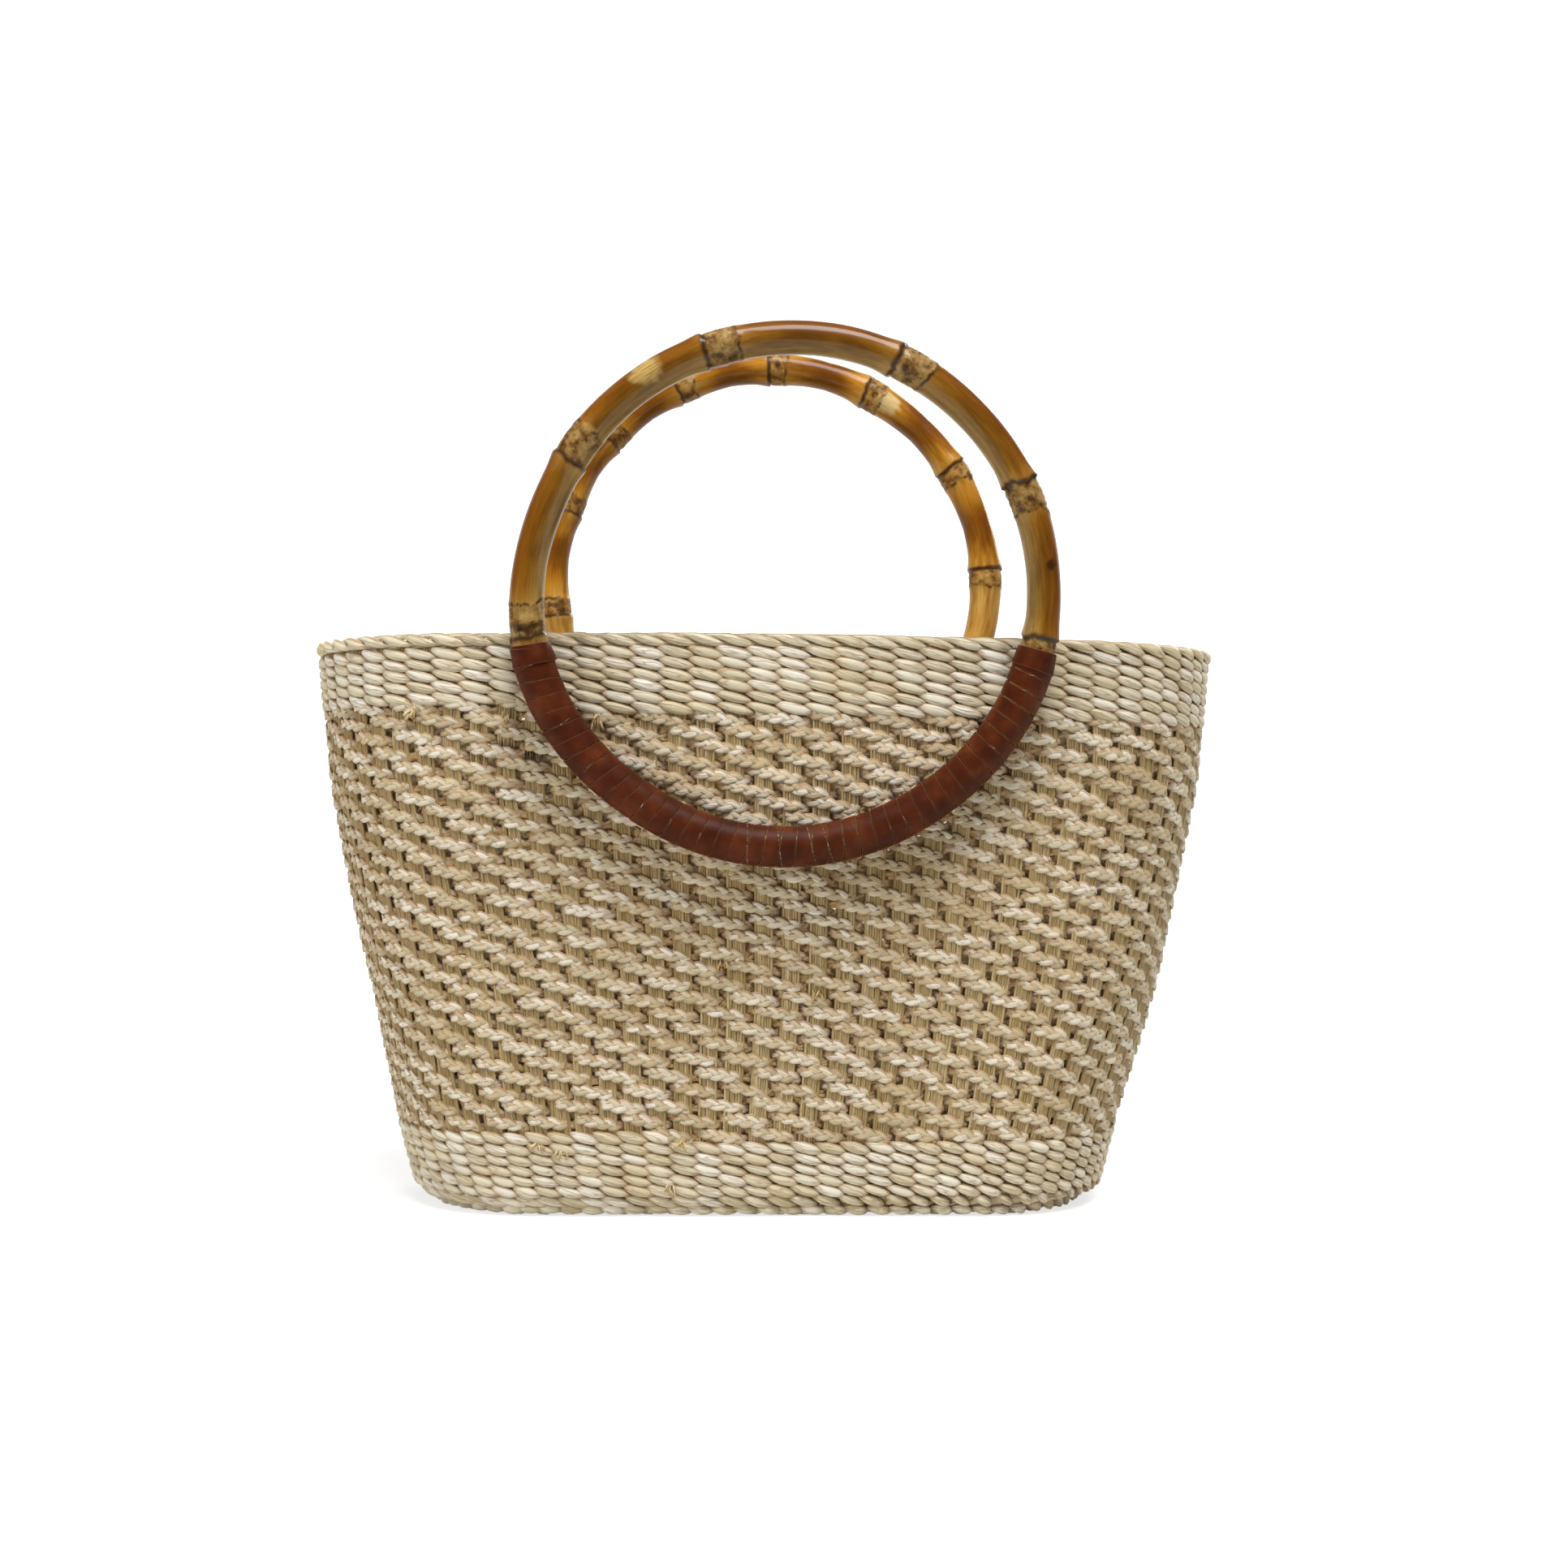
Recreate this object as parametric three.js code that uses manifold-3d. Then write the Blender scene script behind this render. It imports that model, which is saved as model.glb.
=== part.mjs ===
// A woven straw basket bag with two bamboo ring handles, in millimetres, +Z up.
// The origin is the middle of the underside, +X runs along the bag and the front faces -Y.
import * as THREE from "three";
import { mergeVertices } from "three/addons/utils/BufferGeometryUtils.js";
import Module from "manifold-3d";

const wasm = await Module();
wasm.setup();

// Outside of the wall, as half sizes at the heights where its slope changes
const baseHalfLength = 124.5;
const baseHalfDepth = 45;
const heelHeight = 8;
const heelHalfLength = 138.2;
const heelHalfDepth = 50.5;
const lowerBandHeight = 28.5;
const lowerBandHalfLength = 143.6;
const lowerBandHalfDepth = 53.2;
const waistHeight = 97;
const waistHalfLength = 160.7;
const waistHalfDepth = 58;
const shoulderHeight = 166;
const shoulderHalfLength = 174.5;
const shoulderHalfDepth = 62.5;
const rimHeight = 220;
const rimHalfLength = 178.3;
const rimHalfDepth = 65;
const endSegments = 16; // flats in each rounded end of the bag

// Weave: outer strands, uprights and inner strands, counted from the outside in
const strandThickness = 2.4;
const stakeThickness = 1.2;
const stakeWidth = 6;
const stakeCount = 81;
const stakeSpreadAtBase = 0.13; // how much wider than even the uprights stand on the flat sides
const stakeSpreadAtRim = 0.04;
const layerGap = 0.4; // between strands and uprights
const courseGap = 0.3; // between bands that lie on each other
const upperBandWidth = 18.9;
const rimBorderHeight = 6;
const rimBorderOverhang = 0.3;
const rimBorderSides = 8;

// Handles: a bent bamboo cane each, with its ends butted over a peg under the leather
const ringDiameter = 200;
const caneDiameter = 13;
const caneSides = 10;
const caneSteps = 48;
const nodeSwelling = 0.6;
const nodeLength = 5;
const buttGap = 0.4;
const pegDiameter = 5;
const pegLength = 30;
const pegClearance = 0.4;
const pegSides = 8;
const pegSteps = 6;
const frontHandle = {
  name: "front",
  side: -1,
  footX: 8,
  footHeight: 140.5,
  nodes: [-11, 22, 61, 105, 145, 186], // degrees from +X
};
const rearHandle = {
  name: "rear",
  side: 1,
  footX: 4,
  footHeight: 159.5,
  nodes: [1.5, 31, 62, 89, 114, 137, 159, 187],
};

// Leather strip wound round the lower arc of each ring
const leatherThickness = 0.9;
const leatherGap = 0.3; // between the leather and the cane
const leatherTurns = 24;
const leatherSeam = 0.6; // between neighbouring turns, on the inside of the bend
const leatherBelowRim = 8;
const turnSteps = 12;
const handleSeatGap = 0.35; // between the leather and the wall

// Thread lashing that holds the foot of each ring to the wall, passing between the uprights
const threadDiameter = 0.8;
const threadClearance = 0.6;
const threadSides = 5;
const threadArcSteps = 8;
const lashLoops = 4;
const lashHoleWidth = 2.4;

const wallThickness = 2 * strandThickness + stakeThickness + 2 * layerGap;
const stakeOffset = -wallThickness / 2;
const innerOffset = strandThickness - wallThickness;
const stakePlateBottom = strandThickness + layerGap;
const stakePlateTop = stakePlateBottom + stakeThickness;
const innerFloorBottom = stakePlateTop + layerGap;
const stakeTop = rimHeight - rimBorderHeight - courseGap;
const upperBandBottom = stakeTop - upperBandWidth;
const plaitTopHeight = upperBandBottom - courseGap;
const ringRadius = (ringDiameter - caneDiameter) / 2;
const caneRadius = caneDiameter / 2;
const leatherInnerRadius = caneRadius + leatherGap;
const leatherOuterRadius = leatherInnerRadius + leatherThickness;
const footAngle = -Math.PI / 2;

const wallStations = [
  { z: 0, halfLength: baseHalfLength, halfDepth: baseHalfDepth },
  { z: heelHeight, halfLength: heelHalfLength, halfDepth: heelHalfDepth },
  { z: lowerBandHeight, halfLength: lowerBandHalfLength, halfDepth: lowerBandHalfDepth },
  { z: waistHeight, halfLength: waistHalfLength, halfDepth: waistHalfDepth },
  { z: shoulderHeight, halfLength: shoulderHalfLength, halfDepth: shoulderHalfDepth },
  { z: rimHeight, halfLength: rimHalfLength, halfDepth: rimHalfDepth },
];

// The wall's outer half sizes at a height, and its lean there as depth gained for each unit of height
function wallAt(z) {
  const top = wallStations.length - 1;
  const found = wallStations.findIndex((station) => station.z > z);
  const above = found < 0 ? top : Math.max(found, 1);
  const low = wallStations[above - 1];
  const high = wallStations[above];
  const share = (z - low.z) / (high.z - low.z);
  return {
    halfLength: THREE.MathUtils.lerp(low.halfLength, high.halfLength, share),
    halfDepth: THREE.MathUtils.lerp(low.halfDepth, high.halfDepth, share),
    lean: (high.halfDepth - low.halfDepth) / (high.z - low.z),
  };
}

// Heights between two levels at which a wall piece needs a ring of points
function levelsBetween(bottom, top) {
  const inside = wallStations.map((station) => station.z).filter((z) => z > bottom && z < top);
  return [bottom, ...inside, top];
}

// The wall's plan at a height, moved outwards by offset: two straight sides and two round ends
function outline(z, offset) {
  const { halfLength, halfDepth } = wallAt(z);
  const straight = halfLength - halfDepth;
  const radius = halfDepth + offset;
  const points = [];
  for (const end of [1, -1]) {
    for (let i = 0; i <= endSegments; i++) {
      const angle = Math.PI * (i / endSegments - 0.5);
      const x = straight + radius * Math.cos(angle);
      points.push(new THREE.Vector3(end * x, end * radius * Math.sin(angle), z));
    }
  }
  return points;
}

// A place on the wall in the line of an upright, counted from the middle of the front towards +X
function stakePlace(index, z, offset) {
  const { halfLength, halfDepth } = wallAt(z);
  const straight = halfLength - halfDepth;
  const radius = halfDepth + offset;
  const halfTurn = 2 * straight + Math.PI * radius;
  const spread = THREE.MathUtils.mapLinear(z, 0, rimHeight, stakeSpreadAtBase, stakeSpreadAtRim);
  const turn = THREE.MathUtils.euclideanModulo(index / stakeCount, 1);
  const along = 2 * halfTurn * (turn + (spread * Math.sin(4 * Math.PI * turn)) / (4 * Math.PI));
  const side = along + straight < halfTurn || along + straight >= 2 * halfTurn ? 1 : -1;
  const part = THREE.MathUtils.euclideanModulo(along + straight, halfTurn) - straight;
  const angle = Math.max(0, part - straight) / radius - Math.PI / 2;
  const normal = new THREE.Vector3(side * Math.cos(angle), side * Math.sin(angle), 0);
  const centreX = side * Math.min(part, straight);
  return { point: new THREE.Vector3(centreX, 0, z).addScaledVector(normal, radius), normal };
}

// A skin through loops of points. A closed one joins its last loop to its first, an open one has two caps.
function loft(loops, closed) {
  const count = loops[0].length;
  const rows = closed ? loops.length : loops.length - 1;
  const faces = [];
  for (let i = 0; i < rows; i++) {
    const here = i * count;
    const next = ((i + 1) % loops.length) * count;
    for (let j = 0; j < count; j++) {
      const beside = (j + 1) % count;
      faces.push(here + j, here + beside, next + beside, here + j, next + beside, next + j);
    }
  }
  const last = (loops.length - 1) * count;
  for (let j = 1; !closed && j < count - 1; j++) {
    faces.push(0, j + 1, j, last, last + j, last + j + 1);
  }
  const geometry = new THREE.BufferGeometry().setFromPoints(loops.flat());
  geometry.setIndex(faces);
  return geometry;
}

// A wall piece between two heights and two offsets from the outside
function shell(bottom, top, outer, inner) {
  const levels = levelsBetween(bottom, top);
  const rising = levels.map((z) => outline(z, outer));
  const falling = levels.reverse().map((z) => outline(z, inner));
  return loft([...rising, ...falling], true);
}

// A flat plate whose edge keeps an offset from the wall's outside at its lower face
function plate(bottom, top, offset) {
  const edge = outline(bottom, offset).map((point) => new THREE.Vector2(point.x, point.y));
  const options = { depth: top - bottom, bevelEnabled: false };
  return new THREE.ExtrudeGeometry(new THREE.Shape(edge), options).translate(0, 0, bottom);
}

// A round tube through points, turning its section as little as it can
function tube(points, radius, sides) {
  const last = points.length - 1;
  const tangents = points.map((point, i) =>
    points[Math.min(i + 1, last)].clone().sub(points[Math.max(i - 1, 0)]).normalize(),
  );
  const normal = new THREE.Vector3(1, 0, 0).cross(tangents[0]).normalize();
  const turn = new THREE.Quaternion();
  const loops = points.map((point, i) => {
    normal.applyQuaternion(turn.setFromUnitVectors(tangents[Math.max(i - 1, 0)], tangents[i]));
    const across = tangents[i].clone().cross(normal);
    return Array.from({ length: sides }, (unused, j) => {
      const angle = (2 * Math.PI * j) / sides;
      const reach = normal.clone().multiplyScalar(radius * Math.cos(angle));
      return reach.addScaledVector(across, radius * Math.sin(angle)).add(point);
    });
  });
  return loft(loops, false);
}

function solidOf(geometry) {
  const bare = geometry.clone();
  bare.deleteAttribute("normal");
  bare.deleteAttribute("uv");
  const merged = mergeVertices(bare);
  const vertProperties = new Float32Array(merged.attributes.position.array);
  const triVerts = new Uint32Array(merged.index.array);
  return new wasm.Manifold(new wasm.Mesh({ numProp: 3, vertProperties, triVerts }));
}

function geometryOf(solid) {
  const mesh = solid.getMesh();
  const geometry = new THREE.BufferGeometry();
  geometry.setAttribute("position", new THREE.BufferAttribute(mesh.vertProperties, 3));
  geometry.setIndex(new THREE.BufferAttribute(mesh.triVerts, 1));
  return geometry;
}

// The smallest distance between points that lie at least a number of sections apart along a piece
function leastGap(sections, apart) {
  let least = Infinity;
  for (let i = 0; i < sections.length; i++) {
    for (let k = i + apart; k < sections.length; k++) {
      for (const a of sections[i]) {
        for (const b of sections[k]) {
          least = Math.min(least, a.distanceTo(b));
        }
      }
    }
  }
  return least;
}

const materials = {
  bandStraw: new THREE.MeshStandardMaterial({ color: "#d8cba8", roughness: 0.7, metalness: 0 }),
  plaitStraw: new THREE.MeshStandardMaterial({ color: "#cbb588", roughness: 0.75, metalness: 0 }),
  stakeStraw: new THREE.MeshStandardMaterial({ color: "#bda981", roughness: 0.8, metalness: 0 }),
  bamboo: new THREE.MeshStandardMaterial({ color: "#a9742f", roughness: 0.25, metalness: 0 }),
  pegWood: new THREE.MeshStandardMaterial({ color: "#cfae7c", roughness: 0.7, metalness: 0 }),
  leather: new THREE.MeshStandardMaterial({ color: "#6a2c17", roughness: 0.5, metalness: 0 }),
  thread: new THREE.MeshStandardMaterial({ color: "#dcdcd6", roughness: 0.3, metalness: 0 }),
};

const bag = new THREE.Group();

function addPiece(parent, name, geometry, material) {
  const mesh = new THREE.Mesh(geometry, material);
  mesh.name = name;
  parent.add(mesh);
}

// Uprights and the plate that they make where they cross in the base, as one frame
function makeStakeFrame() {
  const levels = levelsBetween(stakePlateBottom, stakeTop);
  let frame = solidOf(plate(stakePlateBottom, stakePlateTop, stakeOffset));
  for (let index = 0; index < stakeCount; index++) {
    const loops = levels.map((z) => {
      const { point, normal } = stakePlace(index, z, stakeOffset);
      const across = new THREE.Vector3(-normal.y, normal.x, 0);
      const corners = [[1, -1], [1, 1], [-1, 1], [-1, -1]];
      return corners.map(([out, over]) =>
        point
          .clone()
          .addScaledVector(normal, (out * stakeThickness) / 2)
          .addScaledVector(across, (over * stakeWidth) / 2),
      );
    });
    frame = frame.add(solidOf(loft(loops, false)));
  }
  return geometryOf(frame);
}

// The rope edge on top of the wall
function makeRimBorder() {
  const middle = rimHeight - rimBorderHeight / 2;
  const halfWidth = wallThickness / 2 + rimBorderOverhang;
  const roundOff = 1 / Math.cos(Math.PI / rimBorderSides);
  const loops = Array.from({ length: rimBorderSides }, (unused, i) => {
    const angle = (2 * Math.PI * (i + 0.5)) / rimBorderSides;
    const z = middle + (rimBorderHeight / 2) * roundOff * Math.sin(angle);
    return outline(z, stakeOffset + halfWidth * roundOff * Math.cos(angle));
  });
  return loft(loops, true);
}

// Where a ring's foot sits: its cane's lowest middle point, and the lean that lays the ring along the wall
function handleSeat(handle) {
  const wall = wallAt(handle.footHeight);
  const depth = wall.halfDepth + leatherOuterRadius + handleSeatGap;
  return { x: handle.footX, depth, z: handle.footHeight, lean: Math.atan(wall.lean) };
}

// A section of the cane or the peg in the ring's own frame, whose origin is the foot
function caneSection(angle, radius, sides) {
  const outward = new THREE.Vector3(Math.cos(angle), 0, Math.sin(angle));
  const middle = outward.clone().multiplyScalar(ringRadius);
  middle.z += ringRadius;
  return Array.from({ length: sides }, (unused, i) => {
    const around = (2 * Math.PI * i) / sides;
    const point = middle.clone().addScaledVector(outward, radius * Math.cos(around));
    point.y += radius * Math.sin(around);
    return point;
  });
}

function anglesBetween(start, end, steps) {
  return Array.from({ length: steps + 1 }, (unused, i) => start + ((end - start) * i) / steps);
}

function arcTube(start, end, steps, radius, sides) {
  const loops = anglesBetween(start, end, steps).map((angle) => caneSection(angle, radius, sides));
  return loft(loops, false);
}

// The bent cane: swollen at its nodes, open at the foot, and bored there for the peg
function makeCane(handle) {
  const start = footAngle + buttGap / 2 / ringRadius;
  const end = footAngle + 2 * Math.PI - buttGap / 2 / ringRadius;
  const nodeHalf = nodeLength / 2 / ringRadius;
  const nodes = handle.nodes.map((degrees) => THREE.MathUtils.degToRad(degrees));
  const stations = anglesBetween(start, end, caneSteps)
    .filter((angle) => nodes.every((node) => Math.abs(angle - node) > 2 * nodeHalf))
    .map((angle) => ({ angle, radius: caneRadius }));
  for (const node of nodes) {
    stations.push({ angle: node - nodeHalf, radius: caneRadius });
    stations.push({ angle: node, radius: caneRadius + nodeSwelling });
    stations.push({ angle: node + nodeHalf, radius: caneRadius });
  }
  stations.sort((a, b) => a.angle - b.angle);
  const loops = stations.map(({ angle, radius }) => caneSection(angle, radius, caneSides));
  const cane = solidOf(loft(loops, false));
  const boreHalf = (pegLength / 2 + pegClearance) / ringRadius;
  const boreRadius = pegDiameter / 2 + pegClearance;
  const bore = arcTube(footAngle - boreHalf, footAngle + boreHalf, pegSteps, boreRadius, pegSides);
  return geometryOf(cane.subtract(solidOf(bore)));
}

function makePeg() {
  const half = pegLength / 2 / ringRadius;
  return arcTube(footAngle - half, footAngle + half, pegSteps, pegDiameter / 2, pegSides);
}

// One leather strip, wound from the rim on one side down round the foot and up to the rim on the other
function makeLeatherWrap(handle) {
  const centreHeight = handle.footHeight + ringRadius;
  const below = Math.asin((centreHeight - rimHeight + leatherBelowRim) / ringRadius);
  const start = below - Math.PI;
  const pitch = (Math.PI - 2 * below) / leatherTurns;
  const halfWidth = (pitch - leatherSeam / (ringRadius - leatherOuterRadius)) / 2;
  const sections = [];
  for (let i = 0; i <= (leatherTurns - 1) * turnSteps; i++) {
    const turn = i / turnSteps;
    const around = 2 * Math.PI * turn;
    const middle = start + pitch * (turn + 0.5);
    const corners = [
      [leatherOuterRadius, halfWidth],
      [leatherOuterRadius, -halfWidth],
      [leatherInnerRadius, -halfWidth],
      [leatherInnerRadius, halfWidth],
    ];
    sections.push(
      corners.map(([radius, aside]) => {
        const reach = ringRadius + radius * Math.cos(around);
        const angle = middle + aside;
        const rise = ringRadius + reach * Math.sin(angle);
        return new THREE.Vector3(reach * Math.cos(angle), radius * Math.sin(around), rise);
      }),
    );
  }
  console.log(`${handle.name}_leather_wrap least gap ${leastGap(sections, turnSteps - 1).toFixed(2)} mm`);
  return loft(sections, false);
}

// The middle of the cane at a place along X near the foot, in the bag's frame
function caneMiddle(handle, x) {
  const seat = handleSeat(handle);
  const rise = ringRadius - Math.sqrt(ringRadius ** 2 - (x - seat.x) ** 2);
  const y = handle.side * (seat.depth + rise * Math.sin(seat.lean));
  return { y, z: seat.z + rise * Math.cos(seat.lean) };
}

// Where the lashing passes along X: in the gaps between uprights nearest to the ring's foot
function lashPlaces(handle) {
  const gaps = Array.from({ length: stakeCount }, (unused, i) => i + 0.5);
  const places = gaps.map((gap) => stakePlace(gap, handle.footHeight, stakeOffset).point);
  const away = (place) => Math.abs(place.x - handle.footX);
  const onThisSide = places.filter((place) => handle.side * place.y > 0);
  const nearest = onThisSide.sort((a, b) => away(a) - away(b)).slice(0, lashLoops);
  return nearest.map((place) => place.x).sort((a, b) => a - b);
}

// One thread that goes out above the cane, round its front and in again below it, in each gap in turn
function lashPoints(handle) {
  const threadReach = threadClearance + threadDiameter / 2;
  const loopRadius = leatherOuterRadius + threadReach;
  const inside = (z) => handle.side * (wallAt(z).halfDepth - wallThickness - threadReach);
  const points = [];
  for (const x of lashPlaces(handle)) {
    const cane = caneMiddle(handle, x);
    points.push(new THREE.Vector3(x, inside(cane.z + loopRadius), cane.z + loopRadius));
    for (let i = 0; i <= threadArcSteps; i++) {
      const angle = Math.PI * (0.5 - i / threadArcSteps);
      const y = cane.y + handle.side * loopRadius * Math.cos(angle);
      points.push(new THREE.Vector3(x, y, cane.z + loopRadius * Math.sin(angle)));
    }
    points.push(new THREE.Vector3(x, inside(cane.z - loopRadius), cane.z - loopRadius));
  }
  return points;
}

function makeLashing(handle) {
  const points = lashPoints(handle);
  const loop = threadArcSteps + 3;
  const apart = leastGap(points.map((point) => [point]), loop) - threadDiameter;
  console.log(`${handle.name}_lashing least gap ${apart.toFixed(2)} mm`);
  return tube(points, threadDiameter / 2, threadSides);
}

// Square holes through the wall where the lashing goes in and out
function lashHoles(handle) {
  const loop = threadArcSteps + 3;
  const ends = lashPoints(handle).filter((point, i) => i % loop === 0 || i % loop === loop - 1);
  const depth = 2 * wallThickness;
  return ends.map((point) => {
    const box = new THREE.BoxGeometry(lashHoleWidth, depth, lashHoleWidth);
    const y = point.y + handle.side * (wallThickness / 2);
    return solidOf(box.translate(point.x, y, point.z));
  });
}

function makePlaitFace(outer) {
  const bottom = lowerBandHeight + courseGap;
  const holes = [frontHandle, rearHandle].flatMap(lashHoles);
  const wall = solidOf(shell(bottom, plaitTopHeight, outer, outer - strandThickness));
  return geometryOf(holes.reduce((solid, hole) => solid.subtract(hole), wall));
}

const outerMatOffset = -strandThickness - courseGap;
const innerMatOffset = -wallThickness - courseGap;

addPiece(bag, "stake_frame", makeStakeFrame(), materials.stakeStraw);
addPiece(bag, "base_mat_outer", plate(0, strandThickness, outerMatOffset), materials.bandStraw);
addPiece(
  bag,
  "base_mat_inner",
  plate(innerFloorBottom, innerFloorBottom + strandThickness, innerMatOffset),
  materials.bandStraw,
);
addPiece(bag, "lower_band_outer", shell(0, lowerBandHeight, 0, -strandThickness), materials.bandStraw);
addPiece(
  bag,
  "lower_band_inner",
  shell(innerFloorBottom, lowerBandHeight, innerOffset, -wallThickness),
  materials.bandStraw,
);
addPiece(bag, "plait_field_outer", makePlaitFace(0), materials.plaitStraw);
addPiece(bag, "plait_field_inner", makePlaitFace(innerOffset), materials.plaitStraw);
addPiece(bag, "upper_band_outer", shell(upperBandBottom, stakeTop, 0, -strandThickness), materials.bandStraw);
addPiece(
  bag,
  "upper_band_inner",
  shell(upperBandBottom, stakeTop, innerOffset, -wallThickness),
  materials.bandStraw,
);
addPiece(bag, "rim_border", makeRimBorder(), materials.bandStraw);

for (const handle of [frontHandle, rearHandle]) {
  const seat = handleSeat(handle);
  const ring = new THREE.Group();
  ring.position.set(seat.x, handle.side * seat.depth, seat.z);
  ring.rotation.x = -handle.side * seat.lean;
  bag.add(ring);
  addPiece(ring, `${handle.name}_ring_cane`, makeCane(handle), materials.bamboo);
  addPiece(ring, `${handle.name}_ring_peg`, makePeg(), materials.pegWood);
  addPiece(ring, `${handle.name}_leather_wrap`, makeLeatherWrap(handle), materials.leather);
  addPiece(bag, `${handle.name}_lashing`, makeLashing(handle), materials.thread);
}

export default bag;
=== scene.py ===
# Woven straw basket bag with two bamboo ring handles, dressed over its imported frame
import math
import random
from functools import partial

import bmesh
import bpy
import numpy as np
from mathutils import Matrix, Vector, noise


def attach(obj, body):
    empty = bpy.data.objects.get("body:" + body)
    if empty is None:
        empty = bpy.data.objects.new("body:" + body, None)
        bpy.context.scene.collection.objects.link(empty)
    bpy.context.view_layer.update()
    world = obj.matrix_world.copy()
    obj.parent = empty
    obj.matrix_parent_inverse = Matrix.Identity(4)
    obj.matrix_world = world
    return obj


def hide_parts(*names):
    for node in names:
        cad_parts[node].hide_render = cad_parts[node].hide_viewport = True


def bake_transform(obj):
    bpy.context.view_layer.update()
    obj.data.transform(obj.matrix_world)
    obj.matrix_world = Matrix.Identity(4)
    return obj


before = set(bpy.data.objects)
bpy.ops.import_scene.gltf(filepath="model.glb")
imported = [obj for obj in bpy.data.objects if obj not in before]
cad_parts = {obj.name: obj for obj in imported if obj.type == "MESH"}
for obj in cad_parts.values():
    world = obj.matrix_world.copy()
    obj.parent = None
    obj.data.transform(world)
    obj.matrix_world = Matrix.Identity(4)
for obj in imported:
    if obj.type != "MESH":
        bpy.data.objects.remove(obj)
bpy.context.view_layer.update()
scene = bpy.context.scene
mm = 0.001
rng = random.Random(11)
upward = np.array([0, 0, 1.0])
outwards = {"front": -1, "rear": 1}    # which way each side of the bag faces along Y
faces = {"outer": 1, "inner": -1}      # which way each face of the wall looks along its normal


def pick(span):
    return rng.uniform(span[0], span[1])


def jitter(most):
    return rng.uniform(-most, most)


def addItem(name, data):
    item = bpy.data.objects.new(name, data)
    scene.collection.objects.link(item)
    return item


# Camera, level and a little above the middle of the bag
camera = {
    "place": (0, -0.84, 0.159),
    "optics": {"lens": 48.0, "sensor_width": 36, "shift_x": 0.0129, "shift_y": 0.0088},
}


def makeCamera():
    data = bpy.data.cameras.new("camera")
    for key, value in camera["optics"].items():
        setattr(data, key, value)
    scene.camera = addItem("camera", data)
    scene.camera.location = camera["place"]
    scene.camera.rotation_euler = (math.pi / 2, 0, 0)


makeCamera()
print("camera placed")


# Helpers for materials
black, white = "#000000", "#ffffff"


def toLinear(hexColour):
    parts = [int(hexColour[i:i + 2], 16) / 255 for i in (1, 3, 5)]
    return [p / 12.92 if p <= 0.04045 else ((p + 0.055) / 1.055) ** 2.4 for p in parts] + [1]


# The kind may name a mode after a space; a setting that is a socket gets linked,
# and so does a node, by its first output in use
def addNode(tree, kind, settings=None):
    kind, _, mode = kind.partition(" ")
    node = tree.nodes.new("ShaderNode" + kind)
    if mode:
        setattr(node, "data_type" if kind == "Mix" else "operation", mode)
    for key, value in (settings or {}).items():
        if isinstance(value, bpy.types.Node):
            value = next(output for output in value.outputs if output.enabled)
        if isinstance(value, bpy.types.NodeSocket):
            tree.links.new(value, node.inputs[key])
        elif key == "stops":
            while len(node.color_ramp.elements) < len(value):
                node.color_ramp.elements.new(1)
            for element, (position, colour) in zip(node.color_ramp.elements, value):
                element.position = position
                element.color = toLinear(colour)
        elif isinstance(key, str) and hasattr(node, key):
            setattr(node, key, value)
        else:
            node.inputs[key].default_value = value
    return node


# The surface is built by a function that gets the node adder, the object coordinates and what the look needs
def makeMaterial(name, buildSurface, *look):
    material = bpy.data.materials.new(name)
    material.use_nodes = True
    material.node_tree.nodes.clear()
    add = partial(addNode, material.node_tree)
    coords = add("TexCoord").outputs["Object"]
    add("OutputMaterial", {"Surface": buildSurface(add, coords, *look)})
    return material


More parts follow.
